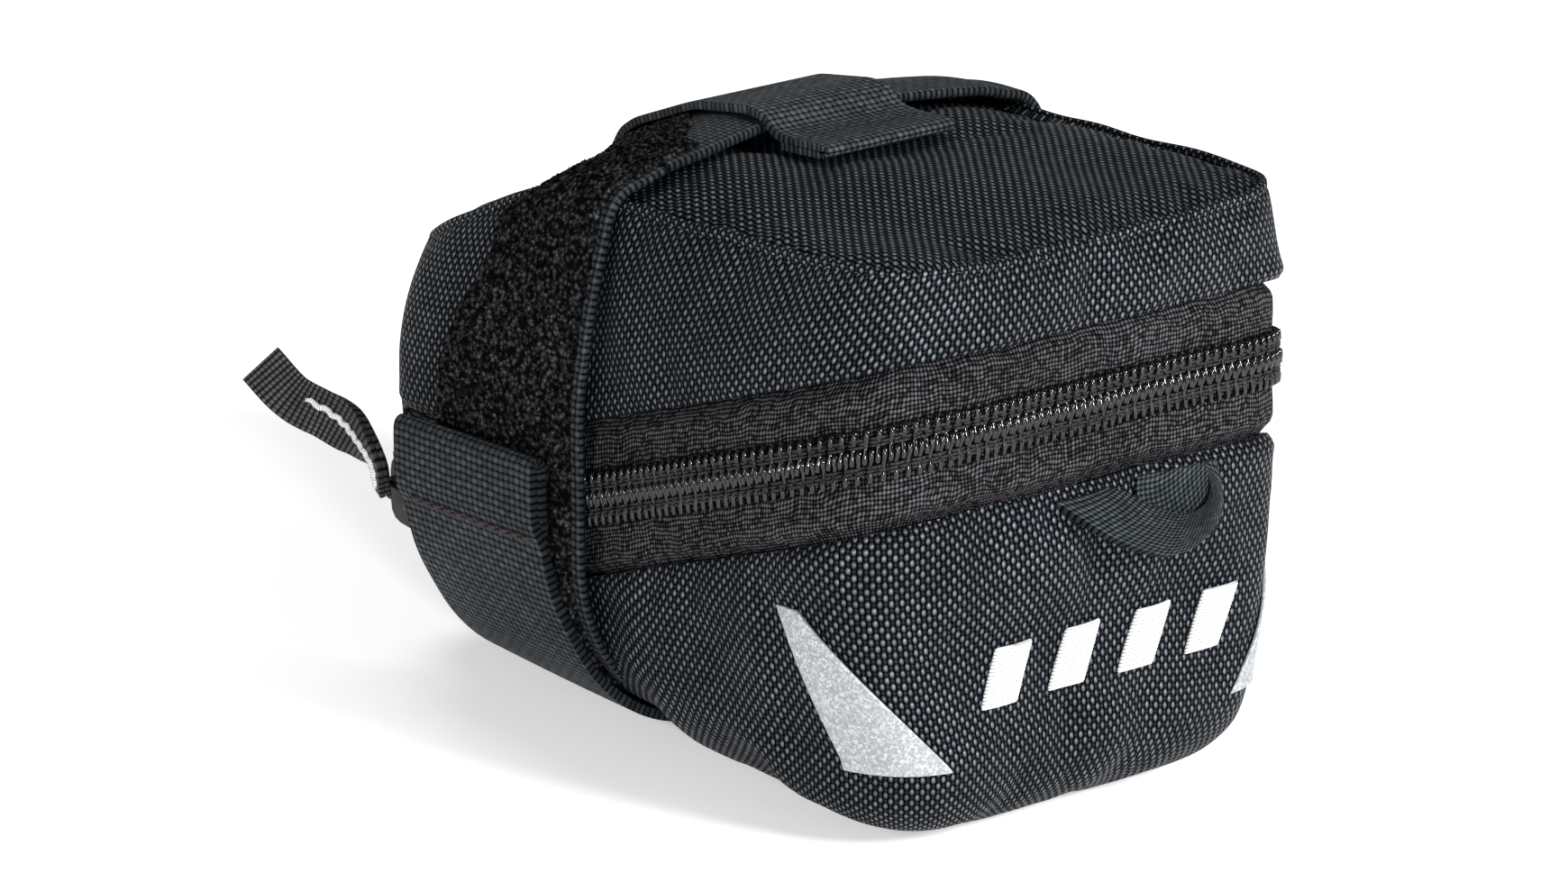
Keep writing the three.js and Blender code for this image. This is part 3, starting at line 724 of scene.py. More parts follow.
def foam_pad(name):
    f = Finish(name)
    cells = f.node("ShaderNodeTexVoronoi", {"Scale": 1400.0, "Vector": f.place()}).outputs["Distance"]
    # Painted shade in the cell pits: the colour follows the cell height, dark in the pits.
    base = f.mix(cells, (0.02, 0.021, 0.023), (0.075, 0.078, 0.083))
    return f.finish(Base_Color=base, Roughness=0.95, Normal=f.bump(cells, 0.3, 1.0))


def board(name):
    f = Finish(name)
    grain = f.noise(900.0, 5.0, 0.6)
    base = f.mix(grain, (0.012, 0.013, 0.015), (0.035, 0.037, 0.041))
    return f.finish(Base_Color=base, Roughness=0.5, Normal=f.bump(grain, 0.1, 0.8))


# In each woven cloth below, the second colour is the yarn crowns with painted highlight and the first the
# painted shade of the gaps.
SHELL = woven("shell_fabric", (0.0010, 0.0014, 0.0020), (0.048, 0.058, 0.073), 0.62, 0.78, 0.34, 0.5, 0.48,
              gloss=0.9, crisp=3.2)
STRAP = woven("belt_webbing", (0.0014, 0.0022, 0.0030), (0.017, 0.023, 0.029), 0.86, 0.96, 0.3, 0.2,
              waver=0.35, crisp=1.5, mottle=0.2)
NARROW = woven("narrow_webbing", (0.0014, 0.0020, 0.0026), (0.030, 0.040, 0.048), 0.8, 0.9, 0.32, 0.15,
               waver=0.25, crisp=1.8)
TAPE_CLOTH = woven("zip_tape_cloth", (0.0012, 0.0011, 0.0012), (0.040, 0.037, 0.042), 0.5, 0.56, 0.3, 0.0,
                   0.7, fuzz=0.06, waver=2.4, gloss=0.4, crisp=3.6, mottle=0.75)
PILE_LOOPS = pile("loop_pile")
COIL = coil_nylon("zip_coil_nylon")
# The second colour of each thread is its ply crowns with painted highlight, the first the painted shade of
# its grooves.
BLACK_THREAD = thread("black_thread", (0.002, 0.002, 0.002), (0.014, 0.014, 0.016))
BROWN_THREAD = thread("brown_thread", (0.004, 0.0026, 0.0026), (0.030, 0.020, 0.020))
WHITE_SATIN = satin("white_embroidery")
FILM = film("reflective_film")
LINING = lining_cloth("lining_cloth")
METAL = metal_paint("black_metal")
FOAM = foam_pad("closed_cell_foam")
BOARD = board("stiffener_board")
HOOKS = woven("hook_tape", (0.004, 0.004, 0.005), (0.03, 0.03, 0.034), 0.5, 0.5, 0.35, 0.3, 0.4)
LOOP_CLOTH = woven("loop_webbing", (0.0014, 0.0020, 0.0024), (0.022, 0.031, 0.035), 0.75, 0.62, 0.34, 0.1,
                   waver=0.35, crisp=1.8)
# The second colour is the rib crowns with painted highlight, the first the painted shade of the grooves.
PULL_CLOTH = grosgrain("pull_grosgrain", (0.0015, 0.0015, 0.0016), (0.022, 0.023, 0.026), 0.7)
BRIGHT = satin("bright_thread")


def put(obj, body, slot, *nodes):
    """Rides a new piece on its body and hides the CAD nodes that it stands for; slot is not used."""
    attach(obj, body)
    if nodes:
        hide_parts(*nodes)
    return obj


def bend_between(obj, a, b, start, end, slot, *nodes):
    """A piece that spans two bodies, its placement baked into its mesh and the CAD nodes that it stands for
    hidden; a, b, start, end and slot are not used.
    """
    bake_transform(obj)
    if nodes:
        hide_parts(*nodes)
    return obj


# ---- lid ----
def over_rear(angle):
    return smooth((-np.cos(angle) - 0.1) / 0.8)


def lid_band():
    """Side wall of the lid, with a folded hem along its lower edge."""
    angles = arc_angles(ZIP_END, 360 - ZIP_END, SHELL_STEP)
    low = height_at(angles, lambda y: zip_z(y) + TAPE_HALF + GAP)
    high = height_at(angles, top_z) + 0.4
    columns = []
    for angle, a, b in zip(angles, low, high):
        k = np.linspace(0, 1, 36)
        rise = (b - a) * k
        out = 1.6 * over_rear(angle) * (1 - k) + 0.35 * np.exp(-((rise / 2.4) ** 2))
        out = out - 0.5 * np.exp(-((rise / 0.7) ** 2))
        out = out - 0.5 * smooth((k - 0.93) / 0.07)
        columns.append(wall(angle, a + rise, out))
    outer = np.array(columns)
    under_belt = (outer[..., 1] > STRAP_REAR_Y - 3) & (outer[..., 1] < STRAP_REAR_Y + STRAP_WIDTH + 2)
    outer = drape(outer, under_belt)
    put(slab("lid_band_fabric", outer, FABRIC, SHELL), "lid", "fabric", "lid_band")


def disc(ring_of, z_of, rows):
    """Grid over an outline, from a square grid whose rim lies on it; rows x rows points."""
    side = np.linspace(-1, 1, rows)
    s, t = np.meshgrid(side, side, indexing="ij")
    share = np.maximum(np.abs(s), np.abs(t))
    angle = np.arctan2(-s, t)
    rim = ring_of(angle)
    x = rim[..., 0] * share
    y = PANEL_MIDDLE_Y + (rim[..., 1] - PANEL_MIDDLE_Y) * share
    return np.stack([x, y, z_of(x, y, share)], -1)


def crown(x, y):
    """How far the top panel bulges."""
    across = 1 - np.clip(np.abs(x) / 31, 0, 1) ** 2.4
    along = 1 - np.clip(np.abs(y - PANEL_MIDDLE_Y) / 47, 0, 1) ** 2.4
    return CROWN * across * along


def lid_top():
    """Crowned top panel, sunk a little along its sewn rim and softly dented behind the belt."""
    def ring_of(angle):
        return wall(angle, height_at(angle, top_z), -0.9, 0.6)

    def z_of(x, y, share):
        z = top_z(y) + crown(x, y) - 0.7 * np.exp(-(((1 - share) / 0.035) ** 2))
        z = z + 0.22 * np.sin(x / 5.1 + y / 8.3) + 0.16 * np.sin(x / 3.2 - y / 6.1 + 1)
        z = z - 1.1 * np.exp(-(((x + 14) / 12) ** 2) - ((y + 36) / 8) ** 2)
        z = z - 0.5 * np.exp(-(((x - 16) / 9) ** 2) - ((y + 30) / 9) ** 2)
        return z + 1.3 * np.exp(-(((x - 29) / 5) ** 2) - ((y + 44) / 6) ** 2)

    outer = disc(ring_of, z_of, 130)
    x, y = outer[..., 0], outer[..., 1]
    under_belt = (y > STRAP_REAR_Y - 1) & (y < STRAP_REAR_Y + STRAP_WIDTH + 2)
    under_keeper = (np.abs(x) < KEEPER_WIDTH / 2 + 1) & (y > STRAP_REAR_Y - 14) & (y < 32)
    outer = drape(outer, under_belt | under_keeper, 0.025, 0.6)
    put(slab("lid_top_fabric", outer, FABRIC, SHELL, uv=outer[..., :2]), "lid", "fabric", "lid_top_panel")


def lid_seam():
    """Turned seam that stands up as a soft lip where the top panel meets the wall."""
    angles = ring_angles(SHELL_STEP)
    z = height_at(angles, top_z)
    base = wall(angles, z, -0.45, 0.8)
    _, _, nx, ny = plan(angles, z)
    out = np.stack([nx, ny, np.zeros_like(nx)], -1)
    degrees = np.mod(angles / RAD, 360)
    lip = 0.5 * np.exp(-(((degrees - 222) / 16) ** 2)) - 0.9 * np.exp(-(((degrees - 165) / 14) ** 2))
    base[:, 2] += lip + 0.12 * np.sin(23 * angles)
    profile = []
    for turn in np.linspace(0, 2 * math.pi, 13)[:-1]:
        lift = np.array([0, 0, 0.8 * math.sin(turn)])
        profile.append(base + out * 0.5 * math.cos(turn) + lift)
    rings = np.stack(profile, 1)
    count, sides = rings.shape[:2]
    i, s = np.arange(count)[:, None], np.arange(sides)[None, :]
    faces, uvs = [], []
    for a, b in ((0, 0), (0, 1), (1, 1), (1, 0)):
        faces.append((i + a) % count * sides + (s + b) % sides)
        uvs.append(np.stack(np.broadcast_arrays((i + a) * SHELL_STEP, (s + b) * 0.5), -1))
    faces, uvs = np.stack(faces, -1).reshape(-1, 4), np.stack(uvs, 2).reshape(-1, 2)
    obj = mesh_object("lid_top_seam", rings.reshape(-1, 3), faces, uvs, SHELL)
    put(obj, "lid", "fabric")


def lid_inside():
    """Lining cap under the lid and the binding over its raw seam."""
    angles = ring_angles(LINING_STEP)
    low = height_at(angles, lambda y: zip_z(y) + TAPE_HALF + 1)
    high = height_at(angles, top_z) - 5
    columns = [wall(a, np.linspace(b, c, 18), LINING_OUT + 0.25 * np.sin(np.linspace(0, 9, 18) + 5 * a))
               for a, b, c in zip(angles, low, high)]
    outer = np.array(columns)
    put(slab("lid_lining_wall", outer, CLOTH, LINING, closed=True), "lid", "lining", "lid_lining")

    def ring_of(angle):
        return wall(angle, height_at(angle, top_z) - 5, LINING_OUT, 1.0)

    def z_of(x, y, share):
        return top_z(y) - 4.9 + crown(x, y) * 0.9 + 0.3 * np.sin(x / 4 + 1) * np.sin(y / 5)
    top = disc(ring_of, z_of, 60)
    put(slab("lid_lining_ceiling", top, CLOTH, LINING), "lid", "lining")
    angles = ring_angles(1.2)
    z = height_at(angles, top_z)
    columns = [wall(a, np.linspace(b - 9.5, b - 6.5, 7), LINING_OUT - 1.2) for a, b in zip(angles, z)]
    obj = slab("lid_binding_tape", np.array(columns), 0.8, NARROW, closed=True)
    put(obj, "lid", "webbing", "lid_seam_binding")


# ---- zip ----
def tape(name, low, high, node, body):
    """One zip tape; its outer edge is tucked behind the fabric that it is sewn to."""
    angles = arc_angles(ZIP_END + 0.6, 359.4 - ZIP_END, 1.0)
    outward = 1 if high > low else -1
    columns = []
    for angle in angles:
        k = np.linspace(0, 1, 15)
        distance = low + (high - low) * k
        y = plan(angle, height_at(angle, zip_z))[1]
        z = zip_z(y) + distance
        bow = 0.5 * np.sin(k * math.pi) * over_rear(angle)
        out = 0.05 + bow - 1.55 * smooth((np.abs(distance) - 7.4) / 2.6)
        columns.append(wall(angle, z, out))
    outer = np.array(columns)
    if outward < 0:
        outer = outer[:, ::-1]
    put(slab(name, outer, 0.8, TAPE_CLOTH), body, "zip_tape", node)


def coil(name, side, node, body):
    """Row of interlocking nylon loops; each runs from the sewn edge over the centre line."""
    angles = arc_angles(ZIP_END + 3, 357 - ZIP_END, COIL_PITCH)
    paths, ups, spine = [], [], []
    shift = 0.5 if side > 0 else 0.0
    for i in range(len(angles) - 1):
        angle = angles[i] + (angles[i + 1] - angles[i]) * shift
        middle = float(height_at(angle, zip_z))
        _, _, nx, ny = plan(angle, middle)
        path = []
        for reach, lift in ((3.15, 0.2), (3.25, 0.7), (2.95, 1.15), (2.3, 1.2), (1.5, 0.85), (0.7, 1.05),
                            (0.0, 1.4), (-0.6, 1.35), (-0.9, 0.9), (-0.7, 0.4)):
            path.append(wall(angle, middle + side * reach, lift))
        paths.append(path)
        ups.append((nx, ny, 0))
        spine.append([wall(angle, middle + side * (1.7 + k * 0.42), 1.2) for k in (-1, 0, 1)])
    obj = tubes(name, paths, 0.34, COIL, 8, 1.0, ups)
    put(obj, body, "zip_coil", node)
    spine = np.array(spine)
    for strand in range(3):
        sewn = stitches(f"{name}_thread_{strand}", spine[:, strand], ups, BLACK_THREAD,
                        COIL_PITCH * (2 - strand % 2), 0.86, 0.2)
        put(sewn, body, "fabric")


# ---- body ----
def body_wall():
    """Lower wall, rounded under at the bottom, with a hem along the zip."""
    angles = arc_angles(ZIP_END, 360 - ZIP_END, SHELL_STEP)
    high = height_at(angles, lambda y: zip_z(y) - TAPE_HALF - GAP)
    outer = np.array([cup_column(a, 90, h, 0.0, 60) for a, h in zip(angles, high)])
    normals = grid_normals(outer)
    up = np.linalg.norm(outer - outer[:, -1:], axis=-1)
    hem = 0.5 * np.exp(-((up / 2.6) ** 2)) - 0.7 * np.exp(-((up / 0.8) ** 2))
    outer = outer + normals * hem[..., None]
    x, y, z = outer[..., 0], outer[..., 1], outer[..., 2]
    under_belt = (y > STRAP_REAR_Y - 3) & (y < STRAP_REAR_Y + STRAP_WIDTH + 8)
    rear = y < -30
    sewn_on = rear & (np.abs(x) < 25) & (z > 14) & (z < 27)
    filmed = rear & (np.abs(x) > 25) & (z > 8) & (z < 32)
    outer = drape(outer, under_belt | sewn_on | filmed)
    put(slab("body_wall_fabric", outer, FABRIC, SHELL), "body", "fabric", "body_wall")


def front_panel():
    """Continuous front fabric from base to lid, made as one fixed piece; the real fabric folds at the level
    of the zip ends.
    """
    angles = arc_angles(-ZIP_END + 0.4, ZIP_END - 0.4, 0.9)
    high = height_at(angles, top_z) + 0.2
    outer = np.array([cup_column(a, 90, h, 0.0, 80) for a, h in zip(angles, high)])
    obj = slab("front_panel_fabric", outer, FABRIC, SHELL)
    bend_between(obj, "lid", "body", (0, FRONT, HINGE_Z + 4), (0, FRONT, HINGE_Z - 4), "fabric",
                 "front_panel_upper", "front_panel_lower")


def base():
    def ring_of(angle):
        return corner(angle, 88.0, 0.0)

    def z_of(x, y, share):
        lift = 0.15 * np.exp(-(((1 - share) / 0.03) ** 2))
        return base_z(y) + lift

    outer = disc(ring_of, z_of, 90)[:, ::-1]
    put(slab("base_fabric", outer, FABRIC, SHELL, uv=outer[..., :2]), "body", "fabric", "base_panel")


def body_inside():
    """Loose cup of lining cloth, flat over the stiffener."""
    def floor(y):
        return base_plane(y) + STRAP_RECESS + FABRIC + 2 * GAP + STIFFENER

    angles = ring_angles(LINING_STEP)
    high = height_at(angles, lambda y: np.minimum(zip_z(y), HINGE_Z + 20) - TAPE_HALF - 1)
    outer = np.array([cup_column(a, 50, h, LINING_OUT, 26) for a, h in zip(angles, high)])
    outer[..., 2] = np.maximum(outer[..., 2], floor(outer[..., 1]) - CLOTH)
    put(slab("body_lining_wall", outer, CLOTH, LINING, closed=True), "body", "lining", "body_lining")

    def ring_of(angle):
        return corner(angle, 50.0, LINING_OUT)

    def z_of(x, y, share):
        return floor(y) + 0.5 + 0.25 * np.sin(x / 4.4 + y / 6) * (1 - share)
    put(slab("body_lining_floor", disc(ring_of, z_of, 60), CLOTH, LINING), "body", "lining")


def rear_sheet(lower, upper, rows, lift):
    """Grid on the rear wall between two curves of x, z, out; lift(k, a, b) is its distance out."""
    columns = []
    for a, b in zip(lower, upper):
        column = []
        for k in np.linspace(0, 1, rows):
            x, z, _ = a + (b - a) * k
            column.append(wall(rear_angle(x), z, lift(k, a[2], b[2])))
        columns.append(column)
    return np.array(columns)


def light_loop():
    """Webbing loop for a light: it leaves the seam under the zip, hangs in a bow and returns."""
    lower = [(-6.2, 39.6, 0.4), (-4.5, 37.8, 3.0), (-2.0, 35.7, 5.5), (1.6, 33.7, 6.8), (5.4, 32.3, 7.2),
             (10.0, 32.1, 6.6), (14.7, 32.9, 5.0), (18.2, 34.7, 3.0), (19.2, 37.4, 1.5), (19.3, SEAM_Z, 0.4)]
    upper = [(1.9, SEAM_Z, 0.4), (3.8, 39.1, 2.0), (6.8, 37.2, 3.6), (9.7, 35.8, 4.2), (12.8, 35.4, 3.8),
             (15.5, 35.7, 2.8), (17.1, 36.8, 1.8), (17.6, 38.3, 0.8), (17.4, 39.2, 0.5), (17.1, SEAM_Z, 0.4)]
    grid = rear_sheet(smooth_path(lower, 80), smooth_path(upper, 80), 14,
                      lambda k, a, b: a + (b - a) * k + 0.5 * math.sin(math.pi * k))
    put(slab("light_loop_webbing", grid, 1.1, LOOP_CLOTH), "body", "webbing", "light_loop")
    bottom = smooth_path([(4.5, 33.6, 5.0), (9.0, 33.2, 4.8), (14.0, 33.9, 3.2), (17.6, 35.6, 1.6)], 30)
    seam = smooth_path([(x, SEAM_Z, 0.7) for x in (7.0, 11.0, 15.0, 18.6)], 30)
    grid = rear_sheet(bottom, seam, 20, lambda k, a, b: b + (a - b) * (1 - k) ** 1.7)
    put(slab("light_loop_back_leg", grid, 0.6, LOOP_CLOTH, edge=0.2), "body", "webbing")


def reflector(label, side):
    """Curved wedge of reflective film, narrow at the top."""
    top, bottom = 29.6, 10.6
    columns = []
    for k in np.linspace(0, 1, 26):
        column = []
        for z in np.linspace(bottom, top, 34):
            start = 124.4 + (top - z) * 0.31
            end = 127.4 + (top - z) * 0.92
            angle = (start + (end - start) * k) * side * RAD
            r, centre_z, _, _ = corner_at(angle)
            if z >= centre_z:
                column.append(wall(angle, z, 0.55))
            else:
                turn = math.asin(float((centre_z - z) / r)) / RAD
                column.append(corner(angle, turn, 0.55))
        columns.append(column)
    outer = np.array(columns)
    if side < 0:
        outer = outer[::-1]
    obj = slab(f"reflector_{label}_film", outer, 0.4, FILM, edge=0.15)
    put(obj, "body", "reflective_film", f"reflector_{label}")


BAR_COUNT, BAR_FIRST_X, BAR_STEP = 4, -19, 11.5
BAR_WIDTH, BAR_SLANT, BAR_LOW, BAR_TALL = 6, 3, 17, 7


def embroidered_bars():
    """Plain slanted satin bars, swollen along their middle."""
    for i in range(BAR_COUNT):
        columns = []
        for k in np.linspace(0, 1, 16):
            swell = 0.45 + 0.35 * math.sin(math.pi * k) ** 0.5
            x = BAR_FIRST_X + BAR_STEP * i + BAR_WIDTH * k
            columns.append([wall(rear_angle(x + BAR_SLANT * rise), BAR_LOW + BAR_TALL * rise, swell)
                            for rise in np.linspace(0, 1, 20)])
        bar = slab(f"embroidered_bar_{i + 1}_satin", np.array(columns), 0.7, WHITE_SATIN, edge=0.3)
        put(bar, "body", "white_thread", f"embroidered_bar_{i + 1}")


# ---- belt ----
def seam_x(y):
    """How far out the top seam runs at each y."""
    lift = (top_z(y) - WIDEST_Z) / TUCK_SPAN
    a = HALF_WIDTH - SIDE_TUCK * lift**2
    b = np.where(y > 0, FRONT - FRONT_TUCK * lift**2, REAR)
    n = np.where(y > 0, front_power(lift), REAR_POWER)
    return a * (1 - np.abs(y / b) ** n) ** (1 / n)


def arm(y, end_z, out):
    """x, z points from the lower end up the side and round the top seam."""
    cx, cz = float(seam_x(y)) - SEAM_BACK, float(top_z(y)) - SEAM_BACK
    points = [(STRAP_X + out, z) for z in np.linspace(end_z, 52, 24)]
    first = np.array([STRAP_X + out, 52])
    side = np.array([cx + (BEND + out), cz])
    for k in np.linspace(0, 1, 12)[1:-1]:
        points.append(tuple(first + (side - first) * k + np.array([0.9 * math.sin(math.pi * k), 0])))
    for turn in np.linspace(0, 90, 12):
        points.append((cx + (BEND + out) * math.cos(turn * RAD), cz + (BEND + out) * math.sin(turn * RAD)))
    return points


def crown_at(x):
    """Height of the crown under the belt."""
    return CROWN * max(0.0, 1 - (x / 33) ** 2)


def ribbon(name, path_of, ys, thickness, material, count, shift=None, flip=False, bulge=0.0):
    """Flat webbing: path_of(y) lists x, z; ys are its rows across; count points along it."""
    rows = []
    for y in ys:
        points = redraw(path_of(y), count, 2)
        rows.append(np.stack([points[:, 0], np.full(count, y), points[:, 1]], -1))
    grid = np.stack(rows, 1)
    if shift is not None:
        grid = shift(grid)
    if flip:
        grid = grid[:, ::-1]
    if bulge:
        across = np.linspace(-1, 1, grid.shape[1])
        grid = grid + grid_normals(grid) * (bulge * (1 - across**2))[None, :, None]
    return slab(name, grid, thickness, material), grid


BELT_YS = np.linspace(STRAP_REAR_Y, STRAP_REAR_Y + STRAP_WIDTH, 26)


def under_arc(y, sign, out):
    """x, z points of the lower corner from the side down to the flat run under the base."""
    reach, turn_z = (STRAP_X, SPLIT_Z) if sign > 0 else (TAIL_X, TAIL_TURN_Z)
    rise = turn_z - UNDER_Z - base_plane(y)
    points = []
    for turn in np.linspace(0, 90, 26):
        x = UNDER_FLAT_X + (reach - UNDER_FLAT_X + out) * math.cos(turn * RAD)
        points.append((sign * x, turn_z - (rise + out) * math.sin(turn * RAD)))
    return points


def drift(grid):
    """The belt runs forward as it crosses under the base."""
    x, z = grid[..., 0], grid[..., 2]
    move = TAIL_SHIFT * smooth((STRAP_X - x) / (STRAP_X + TAIL_X))
    move = np.where(z > 45, 0, move)
    bottom = np.maximum(0, 1 - (z - UNDER_Z - base_plane(grid[..., 1])) / SPLIT_Z)
    moved = grid.copy()
    moved[..., 1] += move + TAIL_LEAN * smooth((-x - STRAP_X) / 3) * smooth((z - 8) / 30) * (z < 45)
    moved[..., 2] += SLOPE * move * np.where(z > 45, 0, bottom)
    return moved


def lean(grid):
    """The left arm leans back and gathers at the shoulder of the lid."""
    x, y, z = grid[..., 0], grid[..., 1], grid[..., 2]
    share = (y - STRAP_REAR_Y) / STRAP_WIDTH
    amount = smooth((z - 44) / 18) * smooth((-x - 4) / 20)
    moved = grid.copy()
    moved[..., 1] -= amount * (2.4 + 4.4 * share)
    return moved


def belt():
    """Belt over the lid, down the right side and under the base, and its end on the left."""
    def over(y):
        top = [(x, float(top_z(y)) + BEND - SEAM_BACK + crown_at(x) + WEBBING)
               for x in np.linspace(PILE_TOP_X + 0.3, 26, 40)]
        down = arm(y, SPLIT_Z, WEBBING)[::-1]
        return top + down + under_arc(y, 1, WEBBING)[1:] + [(0.0, UNDER_Z + base_plane(y) - WEBBING)]

    obj, _ = ribbon("belt_main", over, BELT_YS, WEBBING, STRAP, 230, lambda g: lean(drift(g)), bulge=0.15)
    bend_between(obj, "lid", "strap_lower", (STRAP_X, 12, SPLIT_Z + 5), (STRAP_X, 12, SPLIT_Z - 7),
                 "webbing", "strap_top", "strap_under")

    def end(y):
        flat = [(0.0, UNDER_Z + base_plane(y) - WEBBING)]
        outer_x = -TAIL_X - WEBBING
        up = under_arc(y, -1, WEBBING)[::-1]
        up += [(outer_x, z) for z in np.linspace(TAIL_TURN_Z, TAIL_TOP_Z - FOLD_OUT, 20)[1:]]
        up = [(x - FOLD_OUT * smooth((z - FOLD_LOW) / 2), z) for x, z in up]
        turn_x, turn_z = outer_x - FOLD_OUT + FOLD_RADIUS, TAIL_TOP_Z - FOLD_OUT
        over = [(turn_x - FOLD_RADIUS * math.cos(t * RAD), turn_z + FOLD_RADIUS * math.sin(t * RAD))
                for t in range(20, 181, 20)]
        back = [(turn_x + FOLD_RADIUS, z) for z in np.linspace(turn_z, FOLD_LOW + 1, 12)[1:]]
        return flat + up + over + back

    obj, grid = ribbon("belt_end", end, BELT_YS, WEBBING, STRAP, 160, drift, bulge=0.1)
    bend_between(obj, "strap_lower", "tail", (-TAIL_X, 18, SPLIT_Z - 3), (-TAIL_X, 18, SPLIT_Z + 7),
                 "webbing", "strap_tail")
    normals = grid_normals(grid)
    outside = grid[:, 13, 0] < -TAIL_X - 0.5
    row_at = int(np.argmin(np.abs(grid[:, 13, 2] - FOLD_LOW - 0.4) + 99 * ~outside))
    for label, step in (("a", 0), ("b", 1)):
        path = grid[row_at + step, 1:-1]
        sewn = stitches(f"belt_end_stitches_{label}", path, normals[row_at + step, 1:-1], BROWN_THREAD,
                        1.7 + 0.3 * step, 0.85, 0.3)
        put(sewn, "tail", "webbing")


def hook_patch():
    ys = np.linspace(STRAP_REAR_Y + TAIL_SHIFT + TAIL_LEAN + 1,
                     STRAP_REAR_Y + TAIL_SHIFT + TAIL_LEAN + STRAP_WIDTH - 1, 40)
    grid = [[(-38.9 - 0.5 * ((i + j) % 2), y, z) for i, y in enumerate(ys[::-1])]
            for j, z in enumerate(np.linspace(LEFT_TURN_Z + 4, TAIL_TOP_Z - 1.5, 40))]
    obj = slab("belt_hook_patch", np.array(grid), 0.3, HOOKS, edge=0)
    put(obj, "tail", "hook_tape", "strap_hook_patch")


def pile_arm():
    """Loose arm of the belt with loop pile outside: webbing, its selvage and the pile."""
    def path_of(y, end_turn, out):
        rise = LEFT_TURN_Z - UNDER_Z - base_plane(y) - 2.2
        under = [(-UNDER_FLAT_X - (STRAP_X - UNDER_FLAT_X + out) * math.cos(t * RAD),
                  LEFT_TURN_Z - (rise + out) * math.sin(t * RAD)) for t in np.linspace(end_turn, 4, 14)]
        points = [(-x, z) for x, z in arm(y, LEFT_TURN_Z, out)]
        last = float(top_z(y)) + BEND - SEAM_BACK + out + crown_at(PILE_TOP_X)
        return under + [p for p in points if p[0] < PILE_TOP_X - 3] + [(PILE_TOP_X, last)]

    obj, _ = ribbon("pile_webbing", lambda y: path_of(y, 52, 1.0), BELT_YS, 1.0, STRAP, 110, lean)
    put(obj, "pile_arm", "webbing", "strap_pile_webbing")
    ys = np.linspace(STRAP_REAR_Y + 1.7, STRAP_REAR_Y + STRAP_WIDTH, 66)
    rng = np.random.default_rng(4)

    def tangle(grid):
        grid = lean(grid)
        rough = rng.normal(0, 0.13, grid.shape[:2])
        rough[:, 0] = rough[:, -1] = 0
        return grid + grid_normals(grid) * rough[..., None]
    obj, _ = ribbon("pile_loops", lambda y: path_of(y, 50, 1.8), ys, 0.8, PILE_LOOPS, 230, tangle)
    put(obj, "pile_arm", "loop_pile", "strap_loop_pile")

    def on_top(y):
        end = -20 + 9 * smooth((y - 4) / 9)
        return [(x, float(top_z(y)) + BEND - SEAM_BACK + crown_at(x) + WEBBING + 0.6)
                for x in np.linspace(end, PILE_TOP_X - 0.4, 24)]
    obj, _ = ribbon("pile_loops_top", on_top, ys, 0.7, PILE_LOOPS, 40, tangle, flip=True)
    put(obj, "lid", "loop_pile")


def keeper():
    """Webbing bridge over the belt, its rear end folded double and sewn to the lid."""
    over = CROWN + BEND - SEAM_BACK + WEBBING
    first, last = STRAP_REAR_Y, STRAP_REAR_Y + STRAP_WIDTH
    path = [(first - 3.6, CROWN + 0.2), (first - 11.4, CROWN + 0.5), (first - 12.3, CROWN + 1.0),
            (first - 12.2, CROWN + 1.9), (first - 11.2, CROWN + 2.2), (first - 5.4, CROWN + 2.0),
            (first - 2.6, CROWN + 2.3), (first - 0.6, over + 1.2), (first + 2.5, over + 1.5),
            (first + 12, over + 1.4), (last - 2.5, over + 1.3), (last + 0.2, over + 0.8),
            (last + 2.0, CROWN + 1.5), (last + 3.4, CROWN + 0.8), (last + 5, CROWN + 0.5)]
    lifted = [(y, float(top_z(y)) + lift) for y, lift in path]
    curve = redraw(lifted, int(round(lengths(lifted)[-1] / 0.6)) + 1, 3)
    xs = np.linspace(KEEPER_WIDTH / 2, -KEEPER_WIDTH / 2, 22)
    grid = np.array([[(x, y, z) for x in xs] for y, z in curve])
    put(slab("keeper_webbing", grid, 1.0, NARROW), "lid", "webbing", "strap_keeper")
    normals = grid_normals(grid)
    for label, at in (("rear", 26), ("front", len(curve) - 6)):
        put(stitches(f"keeper_tack_{label}", grid[at, 1:-1], normals[at, 1:-1], BLACK_THREAD, 1.6, 0.8),
            "lid", "webbing")


# ---- slider and pull ----
PULL_ROOT_ACROSS = np.array([-0.45, -0.82, 0.3])
PULL_TIP_ACROSS = np.array([0.76, -0.54, 0.34])


